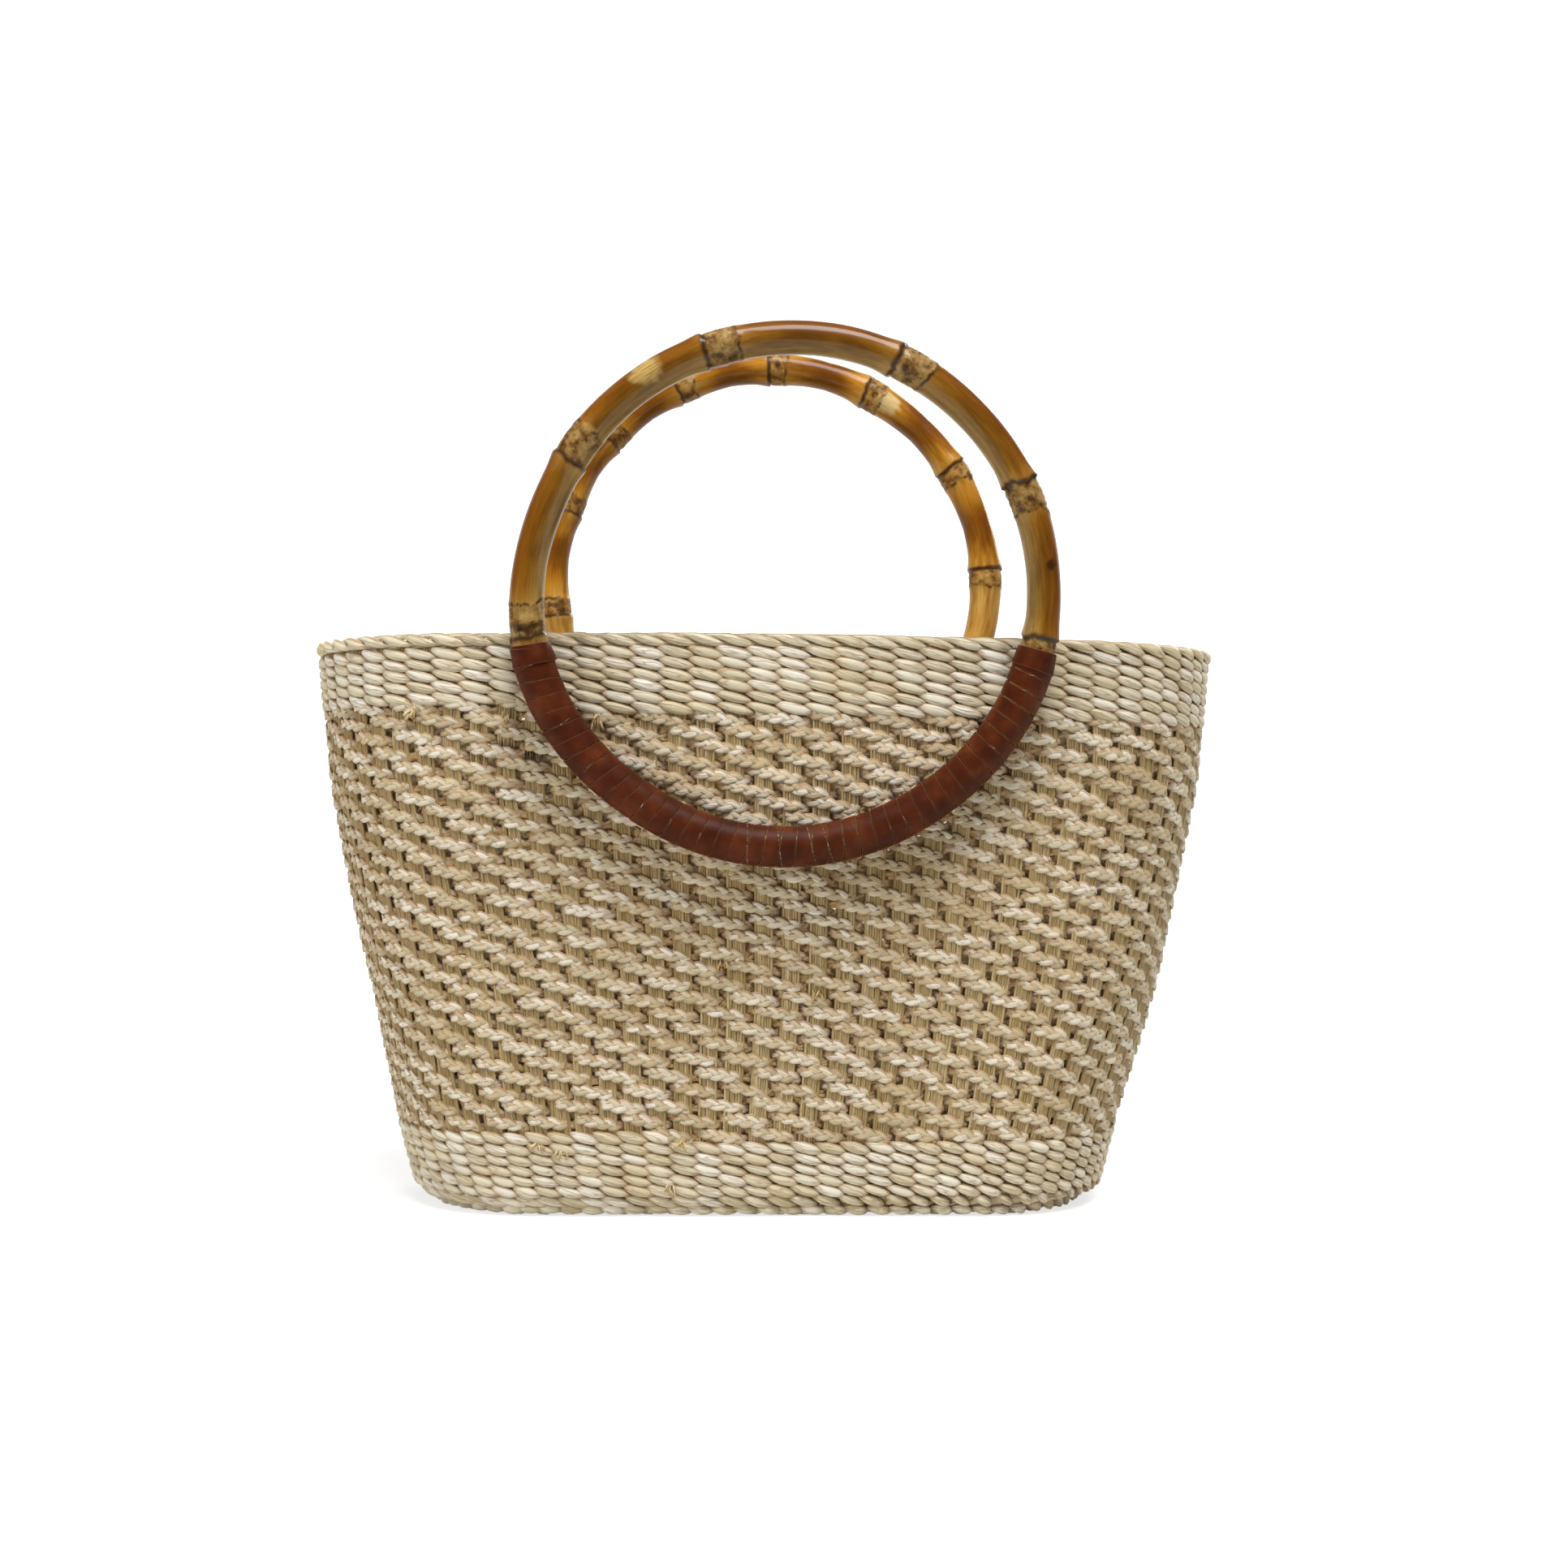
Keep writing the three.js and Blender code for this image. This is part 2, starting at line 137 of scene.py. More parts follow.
# Dried palm leaf, split, dampened and twisted: satin and creased lengthwise, with painted golden-brown shade in its
# creases, along its edges and at its tips where they dive into the weave
def strawSurface(add, coords, look):
    uv = add("UVMap", {"uv_map": "UVMap"})
    byStrand = add("NewGeometry").outputs["Random Per Island"]
    stretched = add("Mapping", {"Scale": (look["alongRepeats"], look["creases"], 1), "Vector": uv})
    seed = add("Math MULTIPLY", {0: byStrand, 1: 53.0})
    crease = add("TexNoise", {"noise_dimensions": "4D", "Scale": 1.0, "Detail": 1.6, "Roughness": 0.55,
                              "Vector": stretched, "W": seed})
    colour = add("ValToRGB", {"stops": look["tones"], "Fac": byStrand})
    # painted shade: dark golden lines along the creases, where the bump makes furrows
    middle = add("Math SUBTRACT", {0: crease, 1: 0.5})
    aside = add("Math ABSOLUTE", {0: middle})
    furrow = add("MapRange", {"From Max": look["creaseWidth"], "To Min": 1.0, "To Max": 0.0, "Value": aside})
    furrowShare = add("Math MULTIPLY", {0: furrow, 1: look["furrowShade"]})
    along = add("SeparateXYZ", {0: uv})
    # painted shade: each strand darkens towards both ends, where it dives under its neighbours into the wall
    tip = add("ValToRGB", {"stops": [(0.0, white), (0.27, black), (0.73, black), (1.0, white)],
                           "Fac": along.outputs["X"]})
    # the strip's two edges lie a quarter turn from its faces; painted shade darkens them into thin lines where
    # strands meet
    half = add("Math PINGPONG", {0: along.outputs["Y"], 1: 0.5})
    offEdge = add("Math SUBTRACT", {0: half, 1: 0.25})
    fromEdge = add("Math ABSOLUTE", {0: offEdge})
    edge = add("MapRange", {"From Min": 0.03, "From Max": 0.11, "To Min": look["edgeShade"], "To Max": 0.0,
                            "Value": fromEdge})
    tipPart = add("Math MULTIPLY", {0: tip, 1: look["tipShade"]})
    tipAndEdgeShade = add("Math MAXIMUM", {0: tipPart, 1: edge})
    blotch = add("TexNoise", {"Scale": 1 / (look["blotchMm"] * mm), "Detail": 2.0, "Vector": coords})
    blotchShare = add("ValToRGB", {"stops": [(0.42, black), (0.75, white)], "Fac": blotch})
    blotchPart = add("Math MULTIPLY", {0: blotchShare, 1: 0.35})
    for stain, share in (("furrow", furrowShare), ("tip", tipAndEdgeShade), ("blotch", blotchPart)):
        colour = add("Mix RGBA", {0: share, 6: colour, 7: toLinear(look[stain])})
    relief = add("Math MULTIPLY_ADD", {0: furrow, 1: -0.5, 2: crease})
    bump = add("Bump", {"Strength": 0.8, "Distance": look["creaseDepthMm"] * mm, "Height": relief})
    return add("BsdfPrincipled", {"Roughness": look["roughness"], "IOR": 1.46, "Specular IOR Level": 0.5,
                                  "Base Color": colour, "Normal": bump})


strawLooks = {
    "band": {
        "tones": [(0.0, "#cfc5a9"), (0.5, "#ddd6c0"), (1.0, "#ebe7db")],
        "furrow": "#94703a", "furrowShade": 0.5,
        "tip": "#946626", "tipShade": 0.9, "edgeShade": 0.7,
        "blotch": "#d2bb8a", "blotchMm": 14,
        "alongRepeats": 0.9, "creases": 6.5, "creaseWidth": 0.045, "creaseDepthMm": 0.5, "roughness": 0.5,
    },
    "plait": {
        "tones": [(0.0, "#b9aa8b"), (0.5, "#d2c8ae"), (1.0, "#ebe6d8")],
        "furrow": "#98703a", "furrowShade": 0.36,
        "tip": "#935f1c", "tipShade": 0.85, "edgeShade": 0.75,
        "blotch": "#cdb281", "blotchMm": 11,
        "alongRepeats": 2.5, "creases": 5, "creaseWidth": 0.045, "creaseDepthMm": 0.25, "roughness": 0.52,
    },
    # the uprights' darker, more golden tones are partly the splits' own colour, partly painted shade of the
    # recessed windows
    "upright": {
        "tones": [(0.0, "#9d875a"), (0.5, "#b19d70"), (1.0, "#c8b68c")],
        "furrow": "#76572c", "furrowShade": 0.5,
        "tip": "#8a6836", "tipShade": 0.0, "edgeShade": 0.4,
        "blotch": "#b3976a", "blotchMm": 9,
        "alongRepeats": 30, "creases": 4, "creaseWidth": 0.06, "creaseDepthMm": 0.15, "roughness": 0.6,
    },
    "cut": {
        "tones": [(0.0, "#cdaa6c"), (0.5, "#dcc695"), (1.0, "#eaddba")],
        "furrow": "#8a6433", "furrowShade": 0.5,
        "tip": "#a98750", "tipShade": 0.3, "edgeShade": 0.0,
        "blotch": "#cfa765", "blotchMm": 5,
        "alongRepeats": 1, "creases": 5, "creaseWidth": 0.06, "creaseDepthMm": 0.15, "roughness": 0.55,
    },
}
strawLooks["rim"] = {**strawLooks["band"], "tipShade": 0.0, "alongRepeats": 30,
                     "tones": [(0.0, "#d8cdaf"), (0.5, "#e3dac1"), (1.0, "#ece6d6")]}
# painted light: paler tones brighten the inner face and the shaded gaps seen through the weave, and golden tips
# paint the warm light bounced in them
strawLooks["innerPlaitPaintedLight"] = {**strawLooks["plait"], "tip": "#b07c30", "tipShade": 0.75, "edgeShade": 0.3,
                            "tones": [(0.0, "#cdb98c"), (0.5, "#dfcfa8"), (1.0, "#efe5ca")]}
straws = {kind: makeMaterial(kind + "Straw", strawSurface, look) for kind, look in strawLooks.items()}


# The wall that every strand follows, in millimetres: two flat sides and two round ends
basket = {
    "heights": [0, 8, 28.5, 97, 166, 220],
    "halfLengths": [124.5, 138.2, 143.6, 160.7, 174.5, 178.3],
    "halfDepths": [45, 50.5, 53.2, 58, 62.5, 65],
    "spreadAtBase": 0.13,    # uprights stand wider apart on the flat sides
    "spreadAtRim": 0.04,
    "middle": -3.4,      # the uprights' depth under the outside
    "dents": 0.7,        # how far the wall is pushed in where it is uneven
    "dentWaves": [(0.3, 10, 0.05), (0.2, 22, -0.08)],    # share, half waves round the wall, climb
    "archHeights": [28, 60, 110, 150, 190, 217],
    "archRises": [0, 1.6, 3.2, 3.0, 1.3, 1.1],     # courses ride up in the middle of each side
    "tiltHeights": [28, 120, 190, 208, 217],
    "tiltDrops": [0.3, 0.7, 2.1, 2.0, 1.7],        # and dip towards +X
    "footShift": -2.4,   # the foot stands a little aside of the mouth
    "footShiftEnds": (36, 84),
}
stakeCount = 81    # uprights, numbered from the middle of the front towards +X


# Place and normal on an oval, by the length along it from the -X end of its front side
def ovalPlace(along, straight, radius, shift, z):
    halfTurn = 2 * straight + math.pi * radius
    within = np.mod(along, 2 * halfTurn)
    side = np.where(within < halfTurn, 1, -1)
    part = np.mod(within, halfTurn) - straight
    angle = np.maximum(0, part - straight) / radius - math.pi / 2
    normal = np.stack([side * np.cos(angle), side * np.sin(angle), 0 * angle], -1)
    point = np.stack([side * np.minimum(part, straight) + shift, 0 * angle, z + 0 * angle], -1)
    return point + normal * np.expand_dims(radius, -1), normal


# Place and normal on the wall, by the number of the upright, the height and the offset from the outside
def wallPlace(stake, z, offset):
    halfLength = np.interp(z, basket["heights"], basket["halfLengths"])
    halfDepth = np.interp(z, basket["heights"], basket["halfDepths"])
    turn = np.mod(stake / stakeCount, 1)
    dent = 0.5
    for share, halfWaves, climb in basket["dentWaves"]:
        dent = dent + share * np.sin(halfWaves * math.pi * turn + climb * z)
    straight = halfLength - halfDepth
    radius = halfDepth + offset - basket["dents"] * dent
    spread = np.interp(z, [0, basket["heights"][-1]], [basket["spreadAtBase"], basket["spreadAtRim"]])
    spaced = turn + spread * np.sin(4 * math.pi * turn) / (4 * math.pi)
    along = 2 * (2 * straight + math.pi * radius) * spaced + straight
    shift = np.interp(z, basket["footShiftEnds"], [basket["footShift"], 0])
    return ovalPlace(along, straight, radius, shift, z)


def courseDrift(stake, z):
    turn = stake / stakeCount
    arch = np.interp(z, basket["archHeights"], basket["archRises"])
    tilt = np.interp(z, basket["tiltHeights"], basket["tiltDrops"])
    return arch * np.cos(4 * math.pi * turn) - tilt * np.sin(math.tau * turn)


def sideOf(stake):
    return "front" if math.cos(math.tau * stake / stakeCount) >= 0 else "rear"


# Turns a finished bmesh into a smooth object
def addPiece(name, bm, mesh=None):
    mesh = mesh or bpy.data.meshes.new(name)
    bm.to_mesh(mesh)
    bm.free()
    mesh.shade_smooth()
    return addItem(name, mesh)


# Sweeps a flattened round section along each path, thick along the wall's normal and wide upright
def sweepStrands(name, paths, shape):
    outline = bpy.data.curves.new(name + "Outline", "CURVE")
    ring = outline.splines.new("POLY")
    ring.points.add(shape["sides"] - 1)
    ring.use_cyclic_u = True
    for i, point in enumerate(ring.points):
        turn = -math.tau * (i + 0.5) / shape["sides"]
        point.co = (shape["halfThick"] * mm * math.cos(turn), shape["halfWide"] * mm * math.sin(turn), 0, 1)
    outlineItem = addItem(name + "Outline", outline)
    curve = bpy.data.curves.new(name + "Paths", "CURVE")
    curve.dimensions = "3D"
    curve.twist_mode = "Z_UP"
    curve.bevel_mode = "OBJECT"
    curve.bevel_object = outlineItem
    curve.use_fill_caps = True
    for points, radii in paths:
        strand = curve.splines.new("POLY")
        strand.points.add(len(points) - 1)
        strand.points.foreach_set("co", np.column_stack([points * mm, np.ones(len(points))]).ravel())
        strand.points.foreach_set("radius", np.broadcast_to(radii, len(points)).astype(float))
    pathItem = addItem(name + "Paths", curve)
    mesh = bpy.data.meshes.new_from_object(pathItem.evaluated_get(bpy.context.evaluated_depsgraph_get()))
    mesh.name = name
    bpy.data.objects.remove(pathItem)
    bpy.data.objects.remove(outlineItem)
    bm = bmesh.new()
    bm.from_mesh(mesh)
    bmesh.ops.remove_doubles(bm, verts=bm.verts, dist=1e-7)
    bmesh.ops.recalc_face_normals(bm, faces=bm.faces)
    return addPiece(name, bm, mesh)


# Dresses a piece, hides the frame parts it stands for and ties it to a body; a piece of the upper wall on the front
# or rear is left unattached, with its transform applied
def settle(piece, material, nodes, body="basket", side=None):
    piece.data.materials.append(material)
    if nodes:
        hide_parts(*nodes)
    if side not in outwards:
        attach(piece, body)
        return
    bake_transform(piece)


# The courses climb in a spiral towards +X on the front
def courseLevel(weave, stake):
    return weave["bottom"] + weave["coursePitch"] * (stake - weave["firstStake"]) / stakeCount


# One pass of a twining strand over some uprights, on the outer or the inner face of the wall
def twinePass(weave, centre, face, count, lift, tilt=1.0):
    swing = np.linspace(-weave["reach"], weave["reach"], count) * math.pi / 2
    stake = centre + swing * weave["uprightsPerPass"] / math.pi
    sign = faces[face]
    level = courseLevel(weave, stake)
    drop = swing * 2 / math.pi
    z = level + courseDrift(stake, level) - sign * tilt * weave["slant"] * drop + lift
    flatness = weave["flatness"]
    depth = weave["depth"] * np.tanh(flatness * np.cos(weave["dive"] * swing)) / math.tanh(flatness)
    line, normal = wallPlace(stake, z, basket["middle"] + sign * depth)
    return line, normal * sign, swing


# Uprights: bundles of split straws side by side
uprights = {
    "straws": 7, "strawPitch": 0.96,
    "halfThick": 0.63, "halfWide": 0.63, "sides": 6, "sizes": (0.85, 1.1),
    "bulgeHeights": [24, 34, 186, 194],
    "bulges": [0.3, 1.3, 1.3, 0.5],      # pressed out between the plaits
    "bottom": 2.5, "top": 215.0, "levels": 20,
    "uneven": 0.12, "swayLengths": (16, 30), "swayStarts": (0, 6),
}


def strawAside(straw, count):
    return (straw - (count - 1) / 2) * uprights["strawPitch"]


def makeUprights():
    paths = {"front": [], "rear": []}
    uneven = uprights["uneven"]
    z = np.linspace(uprights["bottom"], uprights["top"], uprights["levels"])
    for stake in range(stakeCount):
        for straw in range(uprights["straws"]):
            aside = strawAside(straw, uprights["straws"]) + jitter(uneven)
            sway = uneven * np.sin(z / pick(uprights["swayLengths"]) + pick(uprights["swayStarts"]))
            depth = basket["middle"] + np.interp(z, uprights["bulgeHeights"], uprights["bulges"])
            line, normal = wallPlace(np.full(len(z), float(stake)), z, depth + jitter(uneven))
            line = line + np.cross(upward, normal) * (aside + sway)[:, None]
            paths[sideOf(stake)].append((line, pick(uprights["sizes"])))
    for side, found in paths.items():
        piece = sweepStrands("uprights_" + side, found, uprights)
        settle(piece, straws["upright"], ["stake_frame"], side=side)


makeUprights()
print("uprights made")


# Twined bands of loose straw: one upright to a pass, almond-shaped stitches with their tips overlapping
bandShape = {
    "uprightsPerPass": 1, "depth": 2.0, "flatness": 1.3, "dive": 0.52, "reach": 1.5,
    "halfThick": 1.35, "points": 8, "sides": 8, "outerSize": 1, "innerSize": 1.25,
    "tipSize": 0.1, "fullness": 0.8, "sizes": (0.9, 1.12), "jitterAlong": 0.05, "jitterUp": 0.2,
}
upperBand = {
    **bandShape, "slant": 1.35, "halfWide": 2.2,
    "bottom": 190.8, "coursePitch": 4.18, "firstStake": -6, "stitches": 470,
}
lowerBand = {
    **bandShape, "slant": 1.3, "halfWide": 2.15,
    "bottom": 3.6, "coursePitch": 4.1, "firstStake": -539, "stitches": 536,
}
heel = {    # the scalloped course that the bag stands on
    **bandShape, "slant": 0.5, "depth": 2.6, "flatness": 1.2, "dive": 0.6, "reach": 1.3,
    "bottom": 2.75, "coursePitch": 0, "firstStake": 0.5, "stitches": 81,
}


def stitch(band, stake, face):
    line, _, swing = twinePass(band, stake + jitter(band["jitterAlong"]), face, band["points"],
                               jitter(band["jitterUp"]))
    almond = band["tipSize"] + (1 - band["tipSize"]) * np.cos(swing / band["reach"]) ** band["fullness"]
    return line, almond * pick(band["sizes"]) * band[face + "Size"]


def bandStitches(band, face):
    stakes = [band["firstStake"] + i for i in range(band["stitches"])]
    return [(stake, stitch(band, stake, face)) for stake in stakes]


def makeBands():
    for face in faces:
        stitches = bandStitches(lowerBand, face)
        if face == "outer":
            stitches += bandStitches(heel, face)
        piece = sweepStrands("lower_band_stitches_" + face, [path for _, path in stitches], lowerBand)
        settle(piece, straws["band"], ["lower_band_" + face])
        stitches = bandStitches(upperBand, face)
        for side in outwards:
            found = [path for stake, path in stitches if sideOf(stake) == side]
            piece = sweepStrands(f"upper_band_stitches_{face}_{side}", found, upperBand)
            settle(piece, straws["band"], ["upper_band_" + face], side=side)


makeBands()
print("twined bands made")


# Plaits of three strands, twined over two uprights at a time in one long spiral up the wall
plaits = {
    "uprightsPerPass": 2, "slant": 1.95, "depth": 2.2, "flatness": 2.4, "dive": 1.0, "reach": 1.2,
    "bottom": 31.3, "coursePitch": 5.555, "firstStake": -3.5, "passes": 1173,
    "jitterAlong": 0.1, "jitterUp": 0.35, "tilts": (0.75, 1.25),
    "strands": 3, "plaitPitch": 14.8, "pitches": (0.88, 1.12),
    "swayWide": 1.22, "swayDeep": 0.32, "shortTurns": 0.08,    # strands run straight and turn short
    "halfThick": 0.4, "halfWide": 1.45, "sizes": (0.9, 1.1), "strandSizes": (0.92, 1.06),
    "slim": 0.88, "swell": 0.18, "tipSize": 0.35, "taperSpan": 0.85,
    "outerSize": 1.0, "outerTaper": 0.26, "outerPoints": 18, "outerSides": 6, "outerGroups": 4,
    "innerSize": 1.4, "innerTaper": 0.3, "innerPoints": 11, "innerSides": 4, "innerGroups": 2,
    "bendFrom": 131,     # courses above this height become pieces of the front and rear
}
# Loose golden ends that show in the gaps under the plaits
flecks = {
    "share": 0.14, "below": 2.1, "belowMore": (-0.2, 0.5), "behind": 0.6, "behindSizes": (0.6, 1.4),
    "points": (3, 5), "halfThick": 0.16, "halfWide": 0.34, "sides": 4, "sizes": (0.7, 1.2),
}


def plaitPass(line, normal, swing, face):
    tangent = np.gradient(line, axis=0)
    tangent /= np.linalg.norm(tangent, axis=1)[:, None]
    across = np.cross(normal, tangent)
    across /= np.linalg.norm(across, axis=1)[:, None]
    outward = np.cross(tangent, across)
    steps = np.linalg.norm(np.diff(line, axis=0), axis=1)
    length = np.concatenate([[0], np.cumsum(steps)])
    slimmed = 1 - plaits[face + "Taper"] * (1 - np.cos(plaits["taperSpan"] * swing))
    slimmed[[0, -1]] *= plaits["tipSize"]
    size = plaits[face + "Size"] * pick(plaits["sizes"]) * slimmed
    phase = rng.uniform(0, 1)
    pitch = plaits["plaitPitch"] * pick(plaits["pitches"])
    short = plaits["shortTurns"]
    found = []
    for k in range(plaits["strands"]):
        turn = math.tau * (length / pitch + phase + k / plaits["strands"])
        wide = plaits["swayWide"] * size * ((1 - short) * np.sin(turn) - short * np.sin(3 * turn))
        deep = -plaits["swayDeep"] * np.sin(2 * turn)
        strand = line + across * wide[:, None] + outward * deep[:, None]
        swollen = plaits["slim"] + plaits["swell"] * np.sin(turn) ** 2
        found.append((strand, size * pick(plaits["strandSizes"]) * swollen))
    return found


def fleckPath(line, normal):
    first = rng.randint(len(line) // 2, 2 * len(line) // 3)
    part = slice(first, first + rng.randint(*flecks["points"]))
    sunk = line[part] - normal[part] * flecks["behind"] * pick(flecks["behindSizes"])
    sunk[:, 2] -= flecks["below"] + pick(flecks["belowMore"])
    return sunk, pick(flecks["sizes"])


def makePlaits():
    loose = {}
    for face in faces:
        groups = {}
        for i in range(plaits["passes"]):
            centre = plaits["firstStake"] + plaits["uprightsPerPass"] * i
            rise = courseLevel(plaits, centre) - plaits["bottom"]
            share = rise / (plaits["bendFrom"] - plaits["bottom"])
            group = sideOf(centre) if share > 1 else "course" + str(int(share * plaits[face + "Groups"]))
            line, normal, swing = twinePass(plaits, centre + jitter(plaits["jitterAlong"]), face,
                                            plaits[face + "Points"], jitter(plaits["jitterUp"]),
                                            pick(plaits["tilts"]))
            groups.setdefault(group, []).extend(plaitPass(line, normal, swing, face))
            if face == "outer" and rng.random() < flecks["share"]:
                loose.setdefault(sideOf(centre) if share > 1 else "low", []).append(fleckPath(line, normal))
        for group, found in sorted(groups.items()):
            shape = {**plaits, "sides": plaits[face + "Sides"]}
            piece = sweepStrands(f"plaits_{face}_{group}", found, shape)
            straw = straws["plait" if face == "outer" else "innerPlaitPaintedLight"]
            settle(piece, straw, ["plait_field_" + face], side=group)
    for group, found in sorted(loose.items()):
        piece = sweepStrands("loose_ends_" + group, found, flecks)
        settle(piece, straws["cut"], [], side=group)


makePlaits()
print("plaits made")


# Rim: the uprights' ends, laid down and twisted into a rope of three plies
rim = {
    "plies": 3, "uprightsPerTurn": 3, "stepsPerUpright": 6, "height": 216.6, "out": 0.4,
    "swayOut": 1.85, "swayUp": 1.6, "halfThick": 1.5, "halfWide": 1.95, "sides": 8, "size": 0.78, "swell": 0.29,
    "wobbles": [(0.06, 1.7, 1), (0.05, 0.83, 2)],    # size, frequency and shift from ply to ply
    "coreDrop": 2.9, "coreOut": -0.3, "coreSize": 0.85,
}


def makeRim():
    quarter = stakeCount / 4
    for side in outwards:
        low = outwards[side] * quarter
        stake = np.linspace(low, low + 2 * quarter, int(2 * quarter * rim["stepsPerUpright"]))
        middle = rim["height"] + courseDrift(stake, rim["height"])
        found = []
        for ply in range(rim["plies"]):
            turn = math.tau * (stake / rim["uprightsPerTurn"] + ply / rim["plies"])
            wobble = sum(size * np.sin(stake * often + shift * ply) for size, often, shift in rim["wobbles"])
            out = basket["middle"] + rim["out"] + rim["swayOut"] * np.cos(turn)
            line = wallPlace(stake, middle - rim["swayUp"] * np.sin(turn), out)[0]
            found.append((line, rim["size"] + rim["swell"] * np.cos(2 * turn) + wobble))
        core = wallPlace(stake, middle - rim["coreDrop"], basket["middle"] + rim["coreOut"])[0]
        found.append((core, rim["coreSize"]))
        piece = sweepStrands("rim_rope_" + side, found, rim)
        settle(piece, straws["rim"], ["rim_border"], side=side)


makeRim()
print("rim made")


# Base: courses of the same stitches, laid flat round a spine, over and under the crossing uprights
base = {
    "spine": 81.5, "edgeRadius": 43.0, "coursePitch": 4.3, "stitchPitch": 10.0,
    "outerHeight": 1.2, "innerHeight": 5.6, "dive": 1.6, "slant": 0.9, "reach": 1.25,
    "halfThick": 2.3, "halfWide": 1.15, "points": 6, "sides": 6, "tipSize": 0.4, "sizes": (0.92, 1.08),
    "strawHeight": 3.4, "strawsAcross": 6, "strawPoints": 4, "strawSides": 4,
    "strawReach": 0.97, "gathered": 0.25,    # the straws close up towards the spine
}


def makeBaseStitches(face):
    found = []
    sink = faces[face]
    swing = np.linspace(-base["reach"], base["reach"], base["points"]) * math.pi / 2
    pinched = base["tipSize"] + (1 - base["tipSize"]) * np.cos(swing / base["reach"])
    for course in range(int(base["edgeRadius"] / base["coursePitch"])):
        radius = base["edgeRadius"] - base["coursePitch"] * course
        around = 4 * base["spine"] + math.tau * radius
        count = round(around / base["stitchPitch"])
        for i in range(count):
            along = around * ((i + 0.5 * (course % 2)) / count) + swing * around / count / math.pi
            line, normal = ovalPlace(along, base["spine"], radius, basket["footShift"], 0)
            line = line + normal * (sink * base["slant"] * np.sin(swing))[:, None]
            line[:, 2] = base[face + "Height"] + sink * base["dive"] * (1 - np.cos(swing))
            found.append((line, pinched * pick(base["sizes"])))
    piece = sweepStrands("base_stitches_" + face, found, base)
    settle(piece, straws["band"], ["base_mat_" + face])


def makeBaseUprights():
    found = []
    low, high = basket["footShift"] - base["spine"], basket["footShift"] + base["spine"]
    share = np.linspace(0, base["strawReach"], base["strawPoints"])[:, None]
    for stake in range(stakeCount):
        foot, normal = wallPlace(np.array([float(stake)]), np.array([uprights["bottom"]]), basket["middle"])
        inner = np.array([np.clip(foot[0, 0], low, high), 0, 0])
        across = np.cross(upward, normal[0])
        for straw in range(base["strawsAcross"]):
            aside = across * strawAside(straw, base["strawsAcross"])
            line = (foot[0] + aside) * (1 - share) + (inner + aside * base["gathered"]) * share
            line[:, 2] = base["strawHeight"]
            found.append((line, 1.0))
    piece = sweepStrands("base_uprights", found, {**uprights, "sides": base["strawSides"]})
    settle(piece, straws["upright"], [])


for face in faces:
    makeBaseStitches(face)
makeBaseUprights()
print("base made")


# Trimmed ends that stick out where a strand was joined, as (x, height) on the front and rear
ends = {
    "front": [(-87, 28), (-76.5, 27), (-32, 29.5), (-36, 12), (20, 86), (-15.5, 97), (-62.5, 189), (-97.5, 190),
              (-132, 192)],
    "rear": [(60, 29), (-20, 30), (44, 104), (-70, 142)],
    "straws": 6, "length": 3.6, "halfThick": 0.2, "halfWide": 0.72, "sides": 5, "sizes": (0.8, 1.2),
    "rootDepth": -1.6, "rootUp": 1, "rootAside": 1.5,
    "aimOut": (0.5, 1.0), "aimAside": 0.7, "aimUp": (-0.7, 0.3), "droop": 0.5,
    "searchSteps": 3240,
}


def stakeNear(x, z, side):
    stakes = np.linspace(0, stakeCount, ends["searchSteps"], endpoint=False)
    point = wallPlace(stakes, np.full(len(stakes), z), 0.0)[0]
    away = np.where(outwards[side] * point[:, 1] > 0, np.abs(point[:, 0] - x), math.inf)
    return stakes[np.argmin(away)]


def trimmedEnd(stake, z):
    height = np.array([z + jitter(ends["rootUp"])])
    root, normal = wallPlace(np.array([stake]), height, ends["rootDepth"])
    across = np.cross(upward, normal[0])
    aim = normal[0] * pick(ends["aimOut"]) + across * jitter(ends["aimAside"])
    aim[2] = pick(ends["aimUp"])
    share = np.array([0, 0.5, 1.0])[:, None]
    droop = upward * ends["droop"] * share ** 2
    line = root + across * jitter(ends["rootAside"]) + (aim * share - droop) * ends["length"]
    return line, pick(ends["sizes"])


def makeTrimmedEnds():
    groups = {}
    for side in outwards:
        for x, z in ends[side]:
            stake = stakeNear(x, z, side)
            found = groups.setdefault(side if z > plaits["bendFrom"] else "low", [])
            found.extend(trimmedEnd(stake, z) for i in range(ends["straws"]))
    for group, found in sorted(groups.items()):
        piece = sweepStrands("trimmed_ends_" + group, found, ends)
        settle(piece, straws["cut"], [], side=group)


makeTrimmedEnds()
print("trimmed ends made")


